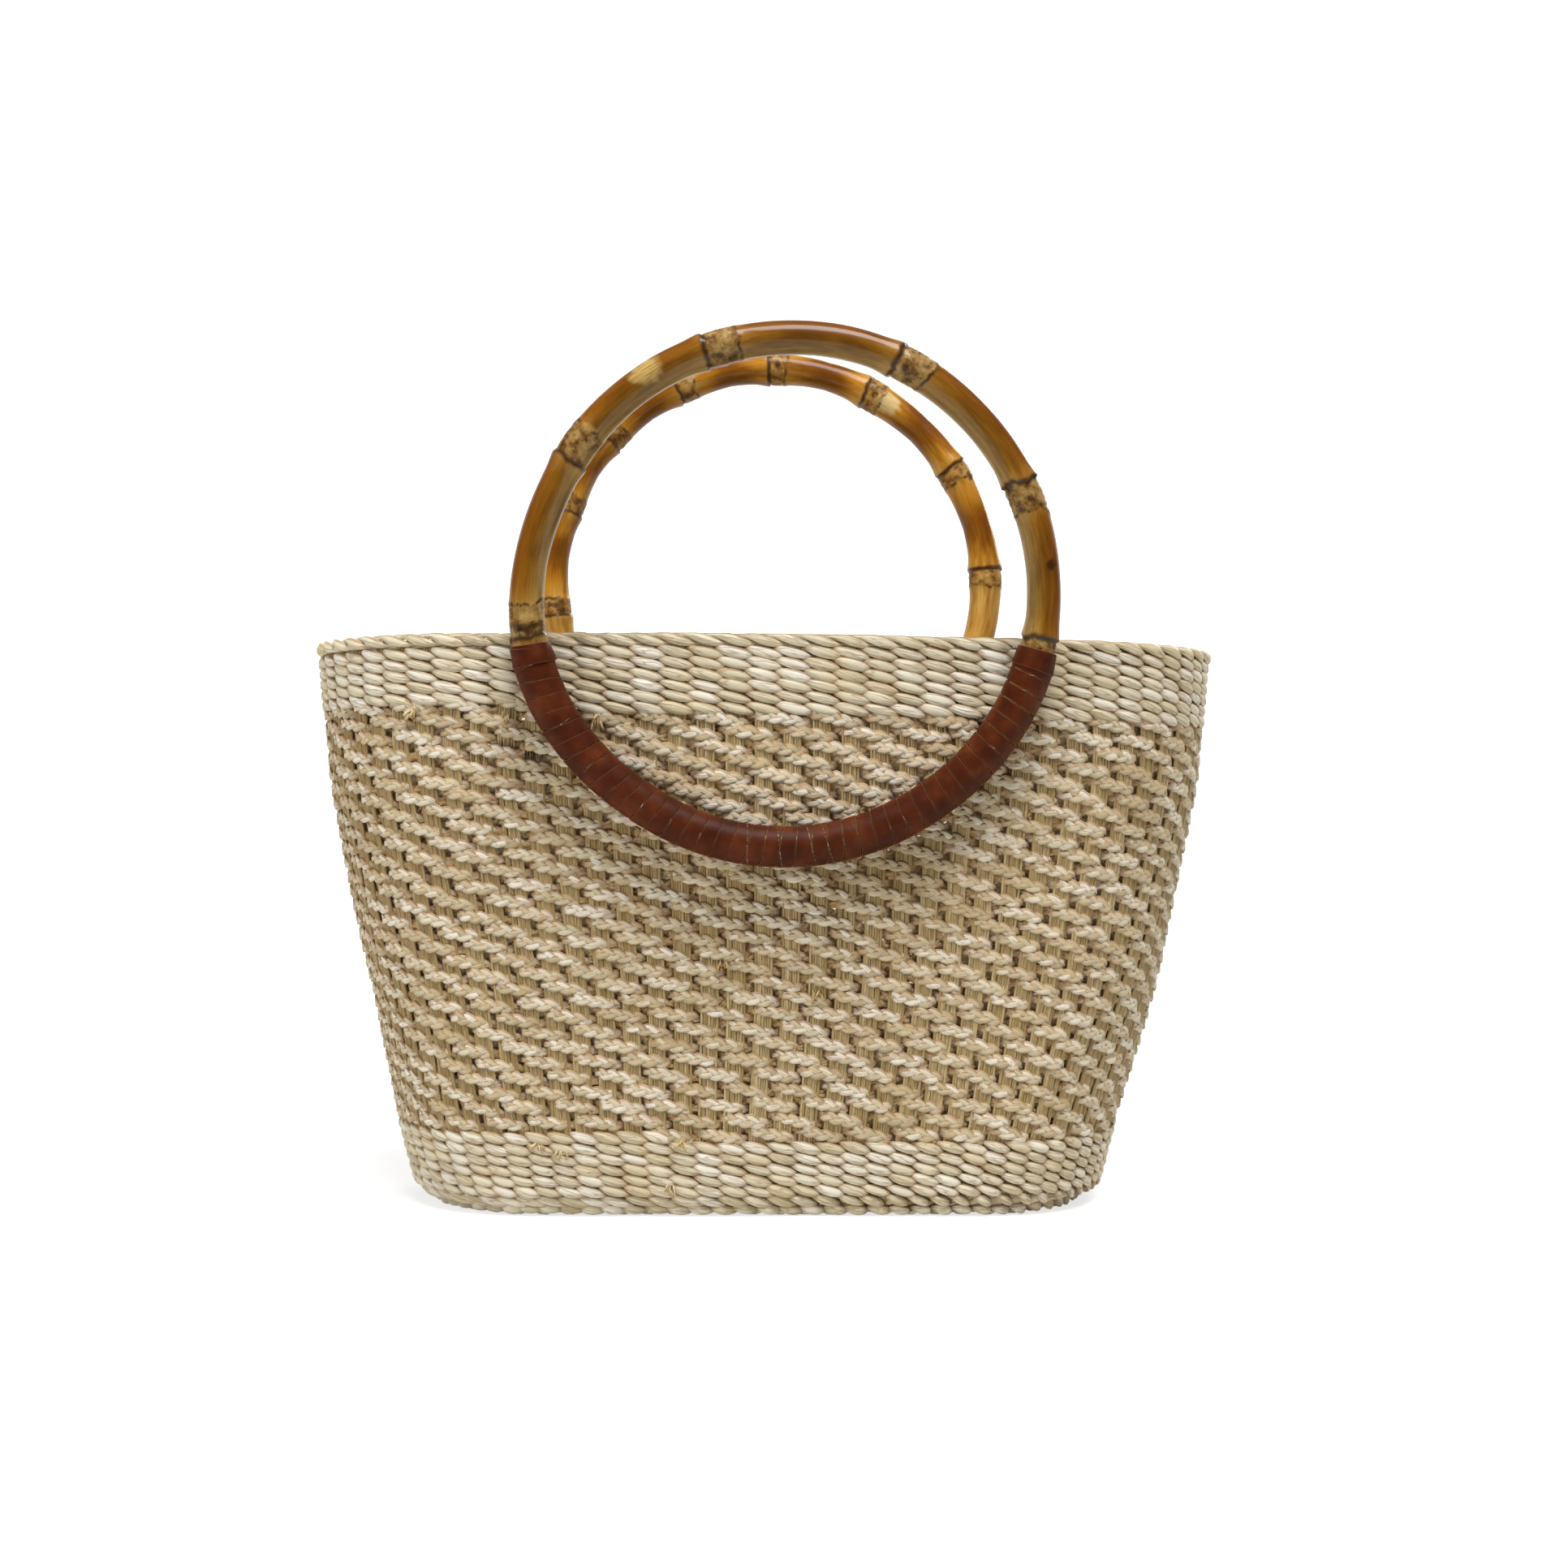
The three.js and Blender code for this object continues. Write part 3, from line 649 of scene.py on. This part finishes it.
# Ring handles, each in its own frame whose origin is the foot of the cane, degrees counted from +X;
# marks are given as place, turn from the outer side towards -Y, half length, half width and strength,
# bulges as place and how far the hand-bent ring departs from a circle
handles = {
    "front": {
        "side": -1, "foot": (8, -68.887, 140.5), "lean": 3.731,
        "nodes": [-13.5, 22, 61, 105, 145, 186],
        "bulges": [(-15, 1.1), (20, 0.8), (60, 0), (105, -1.4), (150, -1.2), (197, 2.2), (240, -0.3), (300, -0.5)],
        "caneRadius": 6.3, "corkLength": 12.5, "swelling": 0.25, "lip": 0.7, "waist": 0.1,
        "scarsAndHighlights": [(184.5, 88, 4, 5, 0.6), (145.5, 140, 4, 4.5, 0.5), (122.3, 62, 6.5, 5.5, 0.9),
                  (140.5, 88, 2, 3.2, 0.6)],
        "buds": [(6, 66, 2.2, 1.6, 1), (62, 105, 1.6, 1.8, 1), (187.5, 70, 1.5, 2, 1), (187.3, 118, 1.5, 2.2, 1)],
    },
    "rear": {
        "side": 1, "foot": (4, 70.126, 159.5), "lean": 3.731,
        "nodes": [1.5, 31, 62, 89, 114, 137, 159, 187],
        "bulges": [(-15, -0.4), (20, -0.5), (50, 0.4), (82, 1.9), (105, 2.4), (138, 3.1), (165, 2.7), (192, 2.6),
                   (235, 0)],
        "caneRadius": 6.65, "corkLength": 7.5, "swelling": 0.55, "lip": 0.6, "waist": 0.5,
        # the two long thin pale stripes along the outer edge, at 16 and 77 degrees, are a painted highlight of the
        # lamp behind; the other two marks are scars
        "scarsAndHighlights": [(57.2, 95, 5.5, 4.8, 0.8), (16, 25, 18, 1.3, 0.7), (77, 27, 16, 1.2, 0.7),
                  (112, 88, 2, 2.2, 0.7)],
        "buds": [(88.6, 90, 1.8, 1.8, 1), (61.5, 92, 1.8, 1.6, 1), (28.6, 45, 2.2, 2.0, 1), (186, 80, 1.5, 1.5, 1)],
    },
    "sides": 28, "steps": 720,
    "layers": ("fromRoot", "fromLip", "internode", "outside", "scar", "bud"),
}
ringRadius = 93.5
# What both canes share; noises are given as size, fineness and shift
cane = {
    "rootAt": 0.55, "rootNoise": [(0.22, 1, 0), (0.08, 3.7, 0)],    # ends of the rough zone, by its length
    "lipAt": 0.45, "lipNoise": [(0.13, 1, 9), (0.08, 4.4, 0), (0.05, 9, 0)],
    "swellingReach": 7, "lipReach": 4.5, "grooveShare": 0.45, "grooveReach": 1.3,
    "ridge": 0.22, "ridgeReach": 0.8, "pitNoise": [(0.22, 1, 0), (0.16, 2.3, 0)],
    "edgeFineness": 1.2, "nodeSeed": 7.3, "sideSeed": 3, "pitFineness": (0.625, 4.5, 5.0),
    "uneven": 0.14, "unevenFineness": 4, "grainFineness": 3, "widestGap": 60,
    "markFineness": (2.5, 2.5, 1), "markRagged": 0.35, "markEdge": 1.1, "markSoftness": 0.35,
}


def ringMatrix(handle):
    turn = Matrix.Rotation(math.radians(-handle["side"] * handle["lean"]), 4, "X")
    return Matrix.Translation(Vector(handle["foot"]) * mm) @ turn


def addRingPart(name, bm, handle):
    bmesh.ops.recalc_face_normals(bm, faces=bm.faces)
    bmesh.ops.transform(bm, matrix=ringMatrix(handle), verts=bm.verts)
    return addPiece(name, bm)


def bulgeAt(handle, degrees):
    places = handle["bulges"]
    for (low, first), (high, last) in zip(places, places[1:] + [(places[0][0] + 360, places[0][1])]):
        share = (degrees - low) % 360 / (high - low)
        if share <= 1:
            return first + (last - first) * (0.5 - 0.5 * math.cos(math.pi * share))


def canePoint(handle, angle, radius, around):
    reach = ringRadius + bulgeAt(handle, math.degrees(angle)) + radius * math.cos(around)
    return Vector((reach * math.cos(angle), radius * math.sin(around), ringRadius + reach * math.sin(angle))) * mm


def degreesFrom(place, degrees):
    return (degrees - place + 180) % 360 - 180


def spotAt(fineness, *places):
    return Vector([scale * place for scale, place in zip(fineness, places)])


def spotRound(angle, fineness, third):
    return Vector((fineness * math.cos(angle), fineness * math.sin(angle), third))


def noiseAt(spot, layers):
    return sum(size * noise.noise(spot * fineness + Vector((shift, 0, 0))) for size, fineness, shift in layers)


def markAt(marks, handle, degrees, around):
    found = 0
    for place, facing, halfLong, halfWide, strength in marks:
        away = math.radians(degreesFrom(place, degrees)) * ringRadius / halfLong
        aside = math.radians(degreesFrom(facing, -math.degrees(around))) * handle["caneRadius"] / halfWide
        ragged = noise.noise(spotAt(cane["markFineness"], away, aside, place))
        edge = math.hypot(away, aside) + cane["markRagged"] * ragged
        inMark = (cane["markEdge"] - edge) / cane["markSoftness"]
        found = max(found, strength * min(1, max(0, inMark)))
    return found


def bellCurve(distance, reach):
    return math.exp(-(distance / reach) ** 2)


# Radius of the cane at a place, how far inside both ends of the nearest node's rough zone it lies,
# and its way from that node to the middle of the length between two nodes
def caneShape(handle, degrees, around):
    gaps = [degreesFrom(node, degrees) for node in handle["nodes"]]
    nearest = min(range(len(gaps)), key=lambda i: abs(gaps[i]))
    gap = gaps[nearest]
    arc = math.radians(gap) * ringRadius
    seed = cane["nodeSeed"] * nearest + cane["sideSeed"] * handle["side"]
    spot = spotRound(around, cane["edgeFineness"], seed)
    fromRoot = arc + handle["corkLength"] * (cane["rootAt"] + noiseAt(spot, cane["rootNoise"]))
    fromLip = handle["corkLength"] * (cane["lipAt"] + noiseAt(spot, cane["lipNoise"])) - arc
    others = [abs(other) for other in gaps if other * gap < 0]
    span = min(1, 2 * abs(gap) / (abs(gap) + min(others, default=cane["widestGap"])))
    radius = handle["caneRadius"] - handle["waist"] * span ** 2
    radius += handle["swelling"] * bellCurve(arc, cane["swellingReach"])
    if fromLip < 0:
        radius += handle["lip"] * bellCurve(fromLip, cane["lipReach"])
    else:
        radius -= cane["grooveShare"] * handle["lip"] * bellCurve(fromLip, cane["grooveReach"])
    radius += cane["ridge"] * bellCurve(fromRoot, cane["ridgeReach"])
    inCork = min(fromRoot, fromLip)
    if inCork > 0:
        radius += min(1, inCork) * noiseAt(spotAt(cane["pitFineness"], arc, around, nearest), cane["pitNoise"])
    turn = math.radians(degrees)
    radius += cane["uneven"] * noise.noise(spotRound(turn, cane["unevenFineness"], abs(around)))
    return radius, fromRoot, fromLip, span


def makeRing(side):
    handle = handles[side]
    bm = bmesh.new()
    bmesh.ops.create_circle(bm, segments=handles["sides"], radius=handle["caneRadius"] * mm,
                            matrix=Matrix.Rotation(math.pi / 2, 4, "Y"))
    centre = Vector((0, 0, ringRadius * mm))
    bmesh.ops.spin(bm, geom=bm.verts[:] + bm.edges[:], cent=centre, axis=(0, 1, 0), angle=math.tau,
                   steps=handles["steps"], use_merge=True)
    bmesh.ops.remove_doubles(bm, verts=bm.verts, dist=1e-6)
    layers = [bm.verts.layers.float.new(name) for name in handles["layers"]]
    lengthwise = bm.verts.layers.float_vector.new("lengthwise")
    for vert in bm.verts:
        flat = vert.co - centre
        angle = math.atan2(flat.z, flat.x)
        around = math.atan2(flat.y, math.hypot(flat.x, flat.z) - ringRadius * mm)
        degrees = math.degrees(angle)
        radius, fromRoot, fromLip, span = caneShape(handle, degrees, around)
        scar, bud = [markAt(handle[marks], handle, degrees, around) for marks in ("scarsAndHighlights", "buds")]
        vert.co = canePoint(handle, angle, radius, around)
        for layer, value in zip(layers, (fromRoot, fromLip, span, 0.5 + 0.5 * math.cos(around), scar, bud)):
            vert[layer] = value
        vert[lengthwise] = spotRound(angle, cane["grainFineness"], abs(around))
    return addRingPart(side + "_bamboo_ring", bm, handle)


# Flame-toned bamboo cane under clear varnish: honey skin, scorched patches, corky rings at its nodes
def bambooSurface(add, coords, look):
    fromRoot, fromLip, internode, outside, scar, bud = [
        add("Attribute", {"attribute_name": layer}).outputs["Fac"] for layer in handles["layers"]]
    lengthwise = add("Attribute", {"attribute_name": "lengthwise"}).outputs["Vector"]
    skin = add("ValToRGB", {"stops": look["aroundTones"], "Fac": outside})
    cloud = add("TexNoise", {"Scale": 1.5, "Detail": 4.0, "Roughness": 0.55, "Vector": lengthwise})
    # the flame darkens each length unevenly, so its place along the cane is shifted by the cloud
    unevenly = add("Math MULTIPLY_ADD", {0: cloud, 1: 0.9, 2: -0.45})
    place = add("Math ADD", {0: internode, 1: unevenly})
    along = add("ValToRGB", {"stops": look["alongTones"], "Fac": place})
    mixed = add("Mix RGBA", {0: look["alongShare"], 6: skin, 7: along})
    scorch = add("ValToRGB", {"stops": [(0.48, black), (0.72, white)], "Fac": cloud})
    scorchPart = add("Math MULTIPLY", {0: scorch, 1: look["scorchShare"]})
    scorched = add("Mix RGBA", {0: scorchPart, 6: mixed, 7: toLinear(look["scorch"])})
    fibreCoords = add("Mapping", {"Scale": (1, 1, 5), "Vector": lengthwise})
    fibre = add("TexNoise", {"Scale": 2.4, "Detail": 5.0, "Roughness": 0.7, "Vector": fibreCoords})
    fibreTone = add("ValToRGB", {"stops": [(0.3, "#9a9a9a"), (0.65, white)], "Fac": fibre})
    fibred = add("Mix RGBA", {"blend_type": "MULTIPLY", 0: 0.5, 6: scorched, 7: fibreTone})
    streaks = add("MapRange", {"From Min": 0.36, "From Max": 0.55, "To Min": 0.3, "Value": fibre})
    # pale scars, and on the rear ring two stripes of painted highlight
    scarAndHighlightPart = add("Math MULTIPLY", {0: scar, 1: streaks})
    scarredAndHighlit = add("Mix RGBA", {0: scarAndHighlightPart, 6: fibred, 7: toLinear(look["scar"])})
    grit = add("TexNoise", {"Scale": 1 / (4.2 * mm), "Detail": 6.0, "Roughness": 0.66, "Vector": coords})
    corkTone = add("ValToRGB", {"stops": look["corkTones"], "Fac": grit})
    inCork = add("Math MINIMUM", {0: fromRoot, 1: fromLip})
    nearNode = add("MapRange", {"From Min": 0.6, "From Max": 0.8, "To Min": 1.0, "To Max": 0.0, "Value": internode})
    rough = add("MapRange", {"From Min": -0.4, "From Max": 1.0, "Value": inCork})
    inside = add("Math MULTIPLY", {0: rough, 1: nearNode})
    bare = add("MapRange", {"To Min": 0.9, "To Max": 0.25, "Value": scar})
    corkPart = add("Math MULTIPLY", {0: inside, 1: bare})
    corked = add("Mix RGBA", {0: corkPart, 6: scarredAndHighlit, 7: corkTone})
    # dark crease under the lip, and a broken dark line where the rough zone runs out
    lipAway = add("Math ABSOLUTE", {0: fromLip})
    crease = add("MapRange", {"From Min": 0.3, "From Max": look["creaseMm"], "To Min": 1.0, "To Max": 0.0,
                              "Value": lipAway})
    rootAway = add("Math ABSOLUTE", {0: fromRoot})
    line = add("MapRange", {"From Min": 0.2, "From Max": 1.1, "To Min": 1.0, "To Max": 0.0, "Value": rootAway})
    broken = add("MapRange", {"From Min": 0.42, "From Max": 0.56, "Value": grit})
    brokenLine = add("Math MULTIPLY", {0: line, 1: broken})
    edges = add("Math MAXIMUM", {0: crease, 1: brokenLine})
    nodeEdges = add("Math MULTIPLY", {0: edges, 1: nearNode})
    darkest = add("Math MAXIMUM", {0: nodeEdges, 1: bud})
    edgePart = add("Math MULTIPLY", {0: darkest, 1: 0.88})
    colour = add("Mix RGBA", {0: edgePart, 6: corked, 7: toLinear(look["edge"])})
    dull = add("MapRange", {"To Min": 0.32, "To Max": 0.55, "Value": inside})
    roughness = add("Math MULTIPLY", {0: grit, 1: inside})
    bump = add("Bump", {"Strength": 0.6, "Distance": 0.5 * mm, "Height": roughness})
    return add("BsdfPrincipled", {"IOR": 1.5, "Specular IOR Level": 0.12, "Coat Weight": look["varnish"],
                                  "Coat Roughness": 0.06, "Coat IOR": 1.5,
                                  "Base Color": colour, "Roughness": dull, "Normal": bump})


bambooLooks = {
    "front": {
        "aroundTones": [(0.0, "#c4ae78"), (0.22, "#9f8142"), (0.5, "#8a5b0e"), (0.75, "#89510b"), (1.0, "#7d3d0d")],
        "alongTones": [(0.0, "#cb9c50"), (0.35, "#8c5c12"), (1.0, "#704307")], "alongShare": 0.45,
        "scorch": "#502b03", "scorchShare": 0.55, "scar": "#c0a462",
        "corkTones": [(0.36, "#2c180a"), (0.44, "#5f401b"), (0.52, "#8c6c39"), (0.7, "#b59c66")],
        "edge": "#2a1407", "creaseMm": 1.7, "varnish": 0.27,
    },
    "rear": {
        "aroundTones": [(0.0, "#c08a2c"), (0.5, "#b37410"), (1.0, "#8e4e0b")],
        "alongTones": [(0.0, "#e0b360"), (0.4, "#c98a2a"), (0.75, "#7d440a"), (1.0, "#653208")], "alongShare": 0.7,
        "scorch": "#5f2f08", "scorchShare": 0.5, "scar": "#e3cf98",
        "corkTones": [(0.36, "#3a2210"), (0.44, "#6f4a20"), (0.52, "#9b7133"), (0.7, "#c49f5e")],
        "edge": "#3a1d0b", "creaseMm": 1.3, "varnish": 0.16,
    },
}
for side in outwards:
    ring = makeRing(side)
    bamboo = makeMaterial(side + "Bamboo", bambooSurface, bambooLooks[side])
    settle(ring, bamboo, [side + "_ring_cane"], body=side + "_handle")
print("bamboo rings made")


# Leather strip wound edge to edge round the lower arc of each ring, with a wider turn over either end
wrap = {
    "winding": {"pitch": 5.95, "width": 5.62, "radius": 6.85},
    "end": {"pitch": 1.6, "width": 7.4, "radius": 6.82},
    "thickness": 0.78, "corner": 0.14, "crown": 0.04, "crownInset": 0.8, "sharpFrom": 32, "stepsPerTurn": 28,
    "belowRim": 8, "rimHeight": 220, "further": {"front": (4.0, 2.0), "rear": (1.5, 1.5)},
    "edgeSway": 0.2, "edgeFineness": (1.3, 0.6, 9), "thicknessSway": 0.1, "thicknessFineness": (0.9, 3.1, 5),
    "foldFineness": (1 / 2.6, 2.2, 7),
    "endTurns": 1.08, "endCone": 0.36, "firstInset": 3.0, "firstCrumple": 0.6, "lastInset": 4.8, "lastCrumple": 0.2,
}
turnPitch = wrap["winding"]["pitch"]


def wrapSpan(side):
    centre = handles[side]["foot"][2] + ringRadius
    below = math.asin((centre - wrap["rimHeight"] + wrap["belowRim"]) / ringRadius)
    left, right = wrap["further"][side]
    return below - math.pi - left / ringRadius, right / ringRadius - below


def windStrip(bm, across, strip, turns):
    low, high = strip["radius"], strip["radius"] + wrap["thickness"]
    half, corner = strip["width"] / 2, wrap["corner"]
    shoulder, crown = half - wrap["crownInset"], high + wrap["crown"]
    section = [(-half, low), (half, low), (half, high - corner), (half - corner, high), (shoulder, crown),
               (-shoulder, crown), (corner - half, high), (-half, high - corner)]
    before = set(bm.verts)
    made = []
    for aside, radius in section:
        vert = bm.verts.new((aside * mm, 0, radius * mm))
        vert[across] = aside / half
        made.append(vert)
    edges = [bm.edges.new((made[i], made[i - 1])) for i in range(len(made))]
    steps = int(turns * wrap["stepsPerTurn"])
    bmesh.ops.spin(bm, geom=made + edges, cent=(0, 0, 0), axis=(1, 0, 0), angle=math.tau * turns, steps=steps,
                   dvec=(strip["pitch"] * turns / steps * mm, 0, 0))
    return [vert for vert in bm.verts if vert not in before]


def bendStrip(handle, verts, across, strip, startAngle, offset, crumple=0, cone=0, phase=0):
    for vert in verts:
        radius = math.hypot(vert.co.y, vert.co.z) / mm
        around = math.atan2(vert.co.y, vert.co.z) + phase
        axial = vert.co.x / mm
        turn = (axial - vert[across] * strip["width"] / 2) / strip["pitch"]
        edgeSpot = spotAt(wrap["edgeFineness"], turn, vert[across], startAngle)
        axial += offset + wrap["edgeSway"] * noise.noise(edgeSpot)
        radius += wrap["thicknessSway"] * noise.noise(spotAt(wrap["thicknessFineness"], turn, 1, startAngle))
        if cone:
            inwards = math.copysign(1, cone) * vert[across]    # 1 at the edge that overlaps the winding
            folds = 0.5 + noise.noise(spotAt(wrap["foldFineness"], axial, around, startAngle))
            radius += abs(cone) * inwards + crumple * folds * (0.5 + 0.5 * inwards)
        vert.co = canePoint(handle, startAngle + axial / ringRadius, radius, around)


def makeWrap(side):
    handle = handles[side]
    start, end = wrapSpan(side)
    length = (end - start) * ringRadius
    turns = length / turnPitch - 1
    bm = bmesh.new()
    across = bm.verts.layers.float.new("across")
    main = windStrip(bm, across, wrap["winding"], turns)
    bendStrip(handle, main, across, wrap["winding"], start, turnPitch / 2)
    for offset, crumple, cone in ((wrap["firstInset"], wrap["firstCrumple"], wrap["endCone"]),
                                  (length - wrap["lastInset"], wrap["lastCrumple"], -wrap["endCone"])):
        band = windStrip(bm, across, wrap["end"], wrap["endTurns"])
        bendStrip(handle, band, across, wrap["end"], start, offset, crumple, cone, -handle["side"] * math.pi / 2)
    bmesh.ops.holes_fill(bm, edges=[edge for edge in bm.edges if edge.is_boundary], sides=0)
    piece = addRingPart(side + "_leather_strip", bm, handle)
    piece.data.set_sharp_from_angle(angle=math.radians(wrap["sharpFrom"]))
    return piece, start, turns


# Vegetable-tanned leather: red-brown, fine pores, raw paler edges
def leatherSurface(add, coords):
    across = add("Attribute", {"attribute_name": "across"}).outputs["Fac"]
    cloud = add("TexNoise", {"Scale": 1 / (9 * mm), "Detail": 4.0, "Vector": coords})
    tone = add("ValToRGB", {"stops": [(0.3, "#3b1707"), (0.5, "#4c200b"), (0.75, "#643016")], "Fac": cloud})
    pores = add("TexVoronoi", {"Scale": 1 / (0.5 * mm), "feature": "F1", "Vector": coords})
    poreTone = add("ValToRGB", {"stops": [(0.0, "#6e6e6e"), (0.45, white)], "Fac": pores})
    pitted = add("Mix RGBA", {"blend_type": "MULTIPLY", 0: 0.25, 6: tone, 7: poreTone})
    side = add("Math ABSOLUTE", {0: across})
    edge = add("MapRange", {"From Min": 0.945, "From Max": 0.985, "Value": side})
    edgePart = add("Math MULTIPLY", {0: edge, 1: 0.7})
    colour = add("Mix RGBA", {0: edgePart, 6: pitted, 7: toLinear("#8f6142")})
    bump = add("Bump", {"Strength": 0.2, "Distance": 0.1 * mm, "Height": pores})
    return add("BsdfPrincipled", {"Roughness": 0.46, "IOR": 1.48, "Specular IOR Level": 0.11,
                                  "Base Color": colour, "Normal": bump})


# Clear polyamide monofilament, colourless and smooth; its pale, patchy base colour is a painted glint
def threadSurface(add, coords):
    # painted glints: patches of the clear thread run from dark tan to near white
    paintedGlints = add("TexNoise", {"Scale": 1 / (1.5 * mm), "Detail": 2.0, "Vector": coords})
    tone = add("ValToRGB", {"stops": [(0.38, "#6b5a48"), (0.5, "#a89a88"), (0.66, "#e8e4dc")], "Fac": paintedGlints})
    return add("BsdfPrincipled", {"Roughness": 0.2, "IOR": 1.53, "Transmission Weight": 0.6, "Base Color": tone})


# Bare beech dowel that joins the cane's ends
def dowelSurface(add, coords):
    stretched = add("Mapping", {"Scale": (0.1, 1, 1), "Vector": coords})
    grain = add("TexNoise", {"Scale": 1 / (2 * mm), "Detail": 3.0, "Vector": stretched})
    tone = add("ValToRGB", {"stops": [(0.35, "#c09a68"), (0.65, "#dabb8c")], "Fac": grain})
    return add("BsdfPrincipled", {"Roughness": 0.65, "IOR": 1.5, "Base Color": tone})


strapLeather = makeMaterial("strapLeather", leatherSurface)
clearThread = makeMaterial("clearThread", threadSurface)
beechDowel = makeMaterial("beechDowel", dowelSurface)


# Thread that shows in some of the leather's seams as short pale arcs, painted as glints; places on a turn are
# shares of it from the ring's inner side
thread = {
    "halfThick": 0.15, "halfWide": 0.15, "sides": 5, "depth": 7.5,
    "share": 0.75, "starts": (-0.5, 0.3), "lengths": (0.15, 0.45), "points": 7,
}
# Four loops of thread in the seams at the foot of each ring tie it to the wall, between the uprights
lashing = {"loops": 4, "reach": 8.05, "depth": 7.55, "steps": 14, "behindWall": 7.6}


def seamLine(handle, start, seam, shares, depth):
    place = ringMatrix(handle)
    points = []
    for share in shares:
        angle = start + turnPitch * (seam + share) / ringRadius
        local = canePoint(handle, angle, depth, math.pi + math.tau * share)
        points.append(np.array(place @ local) / mm)
    return np.array(points)


def makeSeamThread(side, start, turns):
    found = []
    for turn in range(int(turns)):
        if rng.random() > thread["share"]:
            continue
        first = pick(thread["starts"])
        shares = np.linspace(first, first + pick(thread["lengths"]), thread["points"])
        found.append((seamLine(handles[side], start, turn + 1, shares, thread["depth"]), 1.0))
    piece = sweepStrands(side + "_seam_thread", found, thread)
    settle(piece, clearThread, [], body=side + "_handle")


def makeLashing(side, start):
    handle = handles[side]
    towards = outwards[side]
    footX, _, footZ = handle["foot"]
    gaps = np.arange(stakeCount) + 0.5
    places = wallPlace(gaps, np.full(len(gaps), footZ), basket["middle"])[0]
    xs = sorted([p[0] for p in places if p[1] * towards > 0], key=lambda x: abs(x - footX))[:lashing["loops"]]
    shares = [-towards * 0.5 * i / lashing["steps"] for i in range(lashing["steps"] + 1)]    # over the outer half
    found = []
    for x in sorted(xs):
        height = footZ + ringRadius - math.sqrt(ringRadius ** 2 - (x - footX) ** 2)
        along = (math.asin((x - footX) / ringRadius) - math.pi / 2 - start) * ringRadius
        seam = round(along / turnPitch + towards * 0.25)    # seams are counted a quarter turn on
        wall = np.interp(height, basket["heights"], basket["halfDepths"]) - lashing["behindWall"]
        top = (x, towards * wall, height + lashing["reach"])
        bottom = (x, towards * wall, height - lashing["reach"])
        found.append((np.vstack([top, seamLine(handle, start, seam, shares, lashing["depth"]), bottom]), 1.0))
    piece = sweepStrands(side + "_thread_loops", found, thread)
    settle(piece, clearThread, [side + "_lashing"])


for side in outwards:
    strip, start, turns = makeWrap(side)
    settle(strip, strapLeather, [side + "_leather_wrap"], body=side + "_handle")
    makeSeamThread(side, start, turns)
    makeLashing(side, start)
    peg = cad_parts[side + "_ring_peg"]
    for pegSlot in peg.material_slots:
        pegSlot.material = beechDowel
print("leather wraps and lashings made")


# White floor and backdrop, a large soft box overhead and two weak ones from the left and from behind
studio = {
    "ambient": 0.16,
    "sheetAside": 6.0,
    "sheets": {    # low and high edge as (y, z)
        "floor": {"low": (-0.8, 0), "high": (3.0, 0), "glow": 0.72},
        "backdrop": {"low": (3.0, 0), "high": (3.0, 3.2), "glow": 1.0},
    },
    "lampAim": (0, 0, 0.15),
    "lamps": {
        "topBox": {"place": (0.3, -1.0, 2.4), "size": 1.25, "power": 76, "mirrored": True},
        "leftBox": {"place": (-2.1, -1.3, 1.0), "size": 1.2, "power": 25.5, "mirrored": False},
        "rearBox": {"place": (1.5, 2.2, 1.6), "size": 1.2, "power": 32, "mirrored": True},
    },
}


# Bounced light sees a grey card; the eye, mirrors and glass see white, less the shadow on it
def paperSurface(add, coords, glowing):
    light = add("LightPath").outputs
    seen = add("Math MAXIMUM", {0: light["Is Camera Ray"], 1: light["Is Glossy Ray"]})
    seenToo = add("Math MAXIMUM", {0: seen, 1: light["Is Transmission Ray"]})
    away = add("VectorMath LENGTH", {0: coords})
    level = add("MapRange", {"From Min": 0.5, "From Max": 1.1, "To Min": glowing, "To Max": 1.0, "Value": away})
    glow = add("Emission", {"Color": toLinear(white), "Strength": level})
    shaded = add("BsdfDiffuse", {"Color": toLinear("#b4b4b2")})
    both = add("AddShader", {0: glow, 1: shaded})
    pale = add("BsdfDiffuse", {"Color": toLinear("#d0c9bb")})
    return add("MixShader", {0: seenToo, 1: pale, 2: both})


def makeSheet(name, look):
    aside, low, high = studio["sheetAside"], look["low"], look["high"]
    bm = bmesh.new()
    corners = [(-aside, *low), (aside, *low), (aside, *high), (-aside, *high)]
    bm.faces.new([bm.verts.new(corner) for corner in corners])
    sheet = addPiece(name, bm)
    sheet.data.materials.append(makeMaterial(name + "Paper", paperSurface, look["glow"]))


def makeLamp(name, look):
    data = bpy.data.lights.new(name, "AREA")
    data.shape = "SQUARE"
    data.size = look["size"]
    data.energy = look["power"]
    lamp = addItem(name, data)
    lamp.location = look["place"]
    lamp.rotation_euler = (Vector(studio["lampAim"]) - Vector(look["place"])).to_track_quat("-Z", "Y").to_euler()
    lamp.visible_glossy = look["mirrored"]


def makeWorld():
    world = bpy.data.worlds.new("studio")
    scene.world = world
    world.use_nodes = True
    world.node_tree.nodes.clear()
    ambient = addNode(world.node_tree, "Background", {"Color": toLinear(white), "Strength": studio["ambient"]})
    addNode(world.node_tree, "OutputWorld", {"Surface": ambient})


for name, look in studio["sheets"].items():
    makeSheet(name, look)
for name, look in studio["lamps"].items():
    makeLamp(name, look)
makeWorld()
scene.view_settings.view_transform = "Standard"
print("studio made")
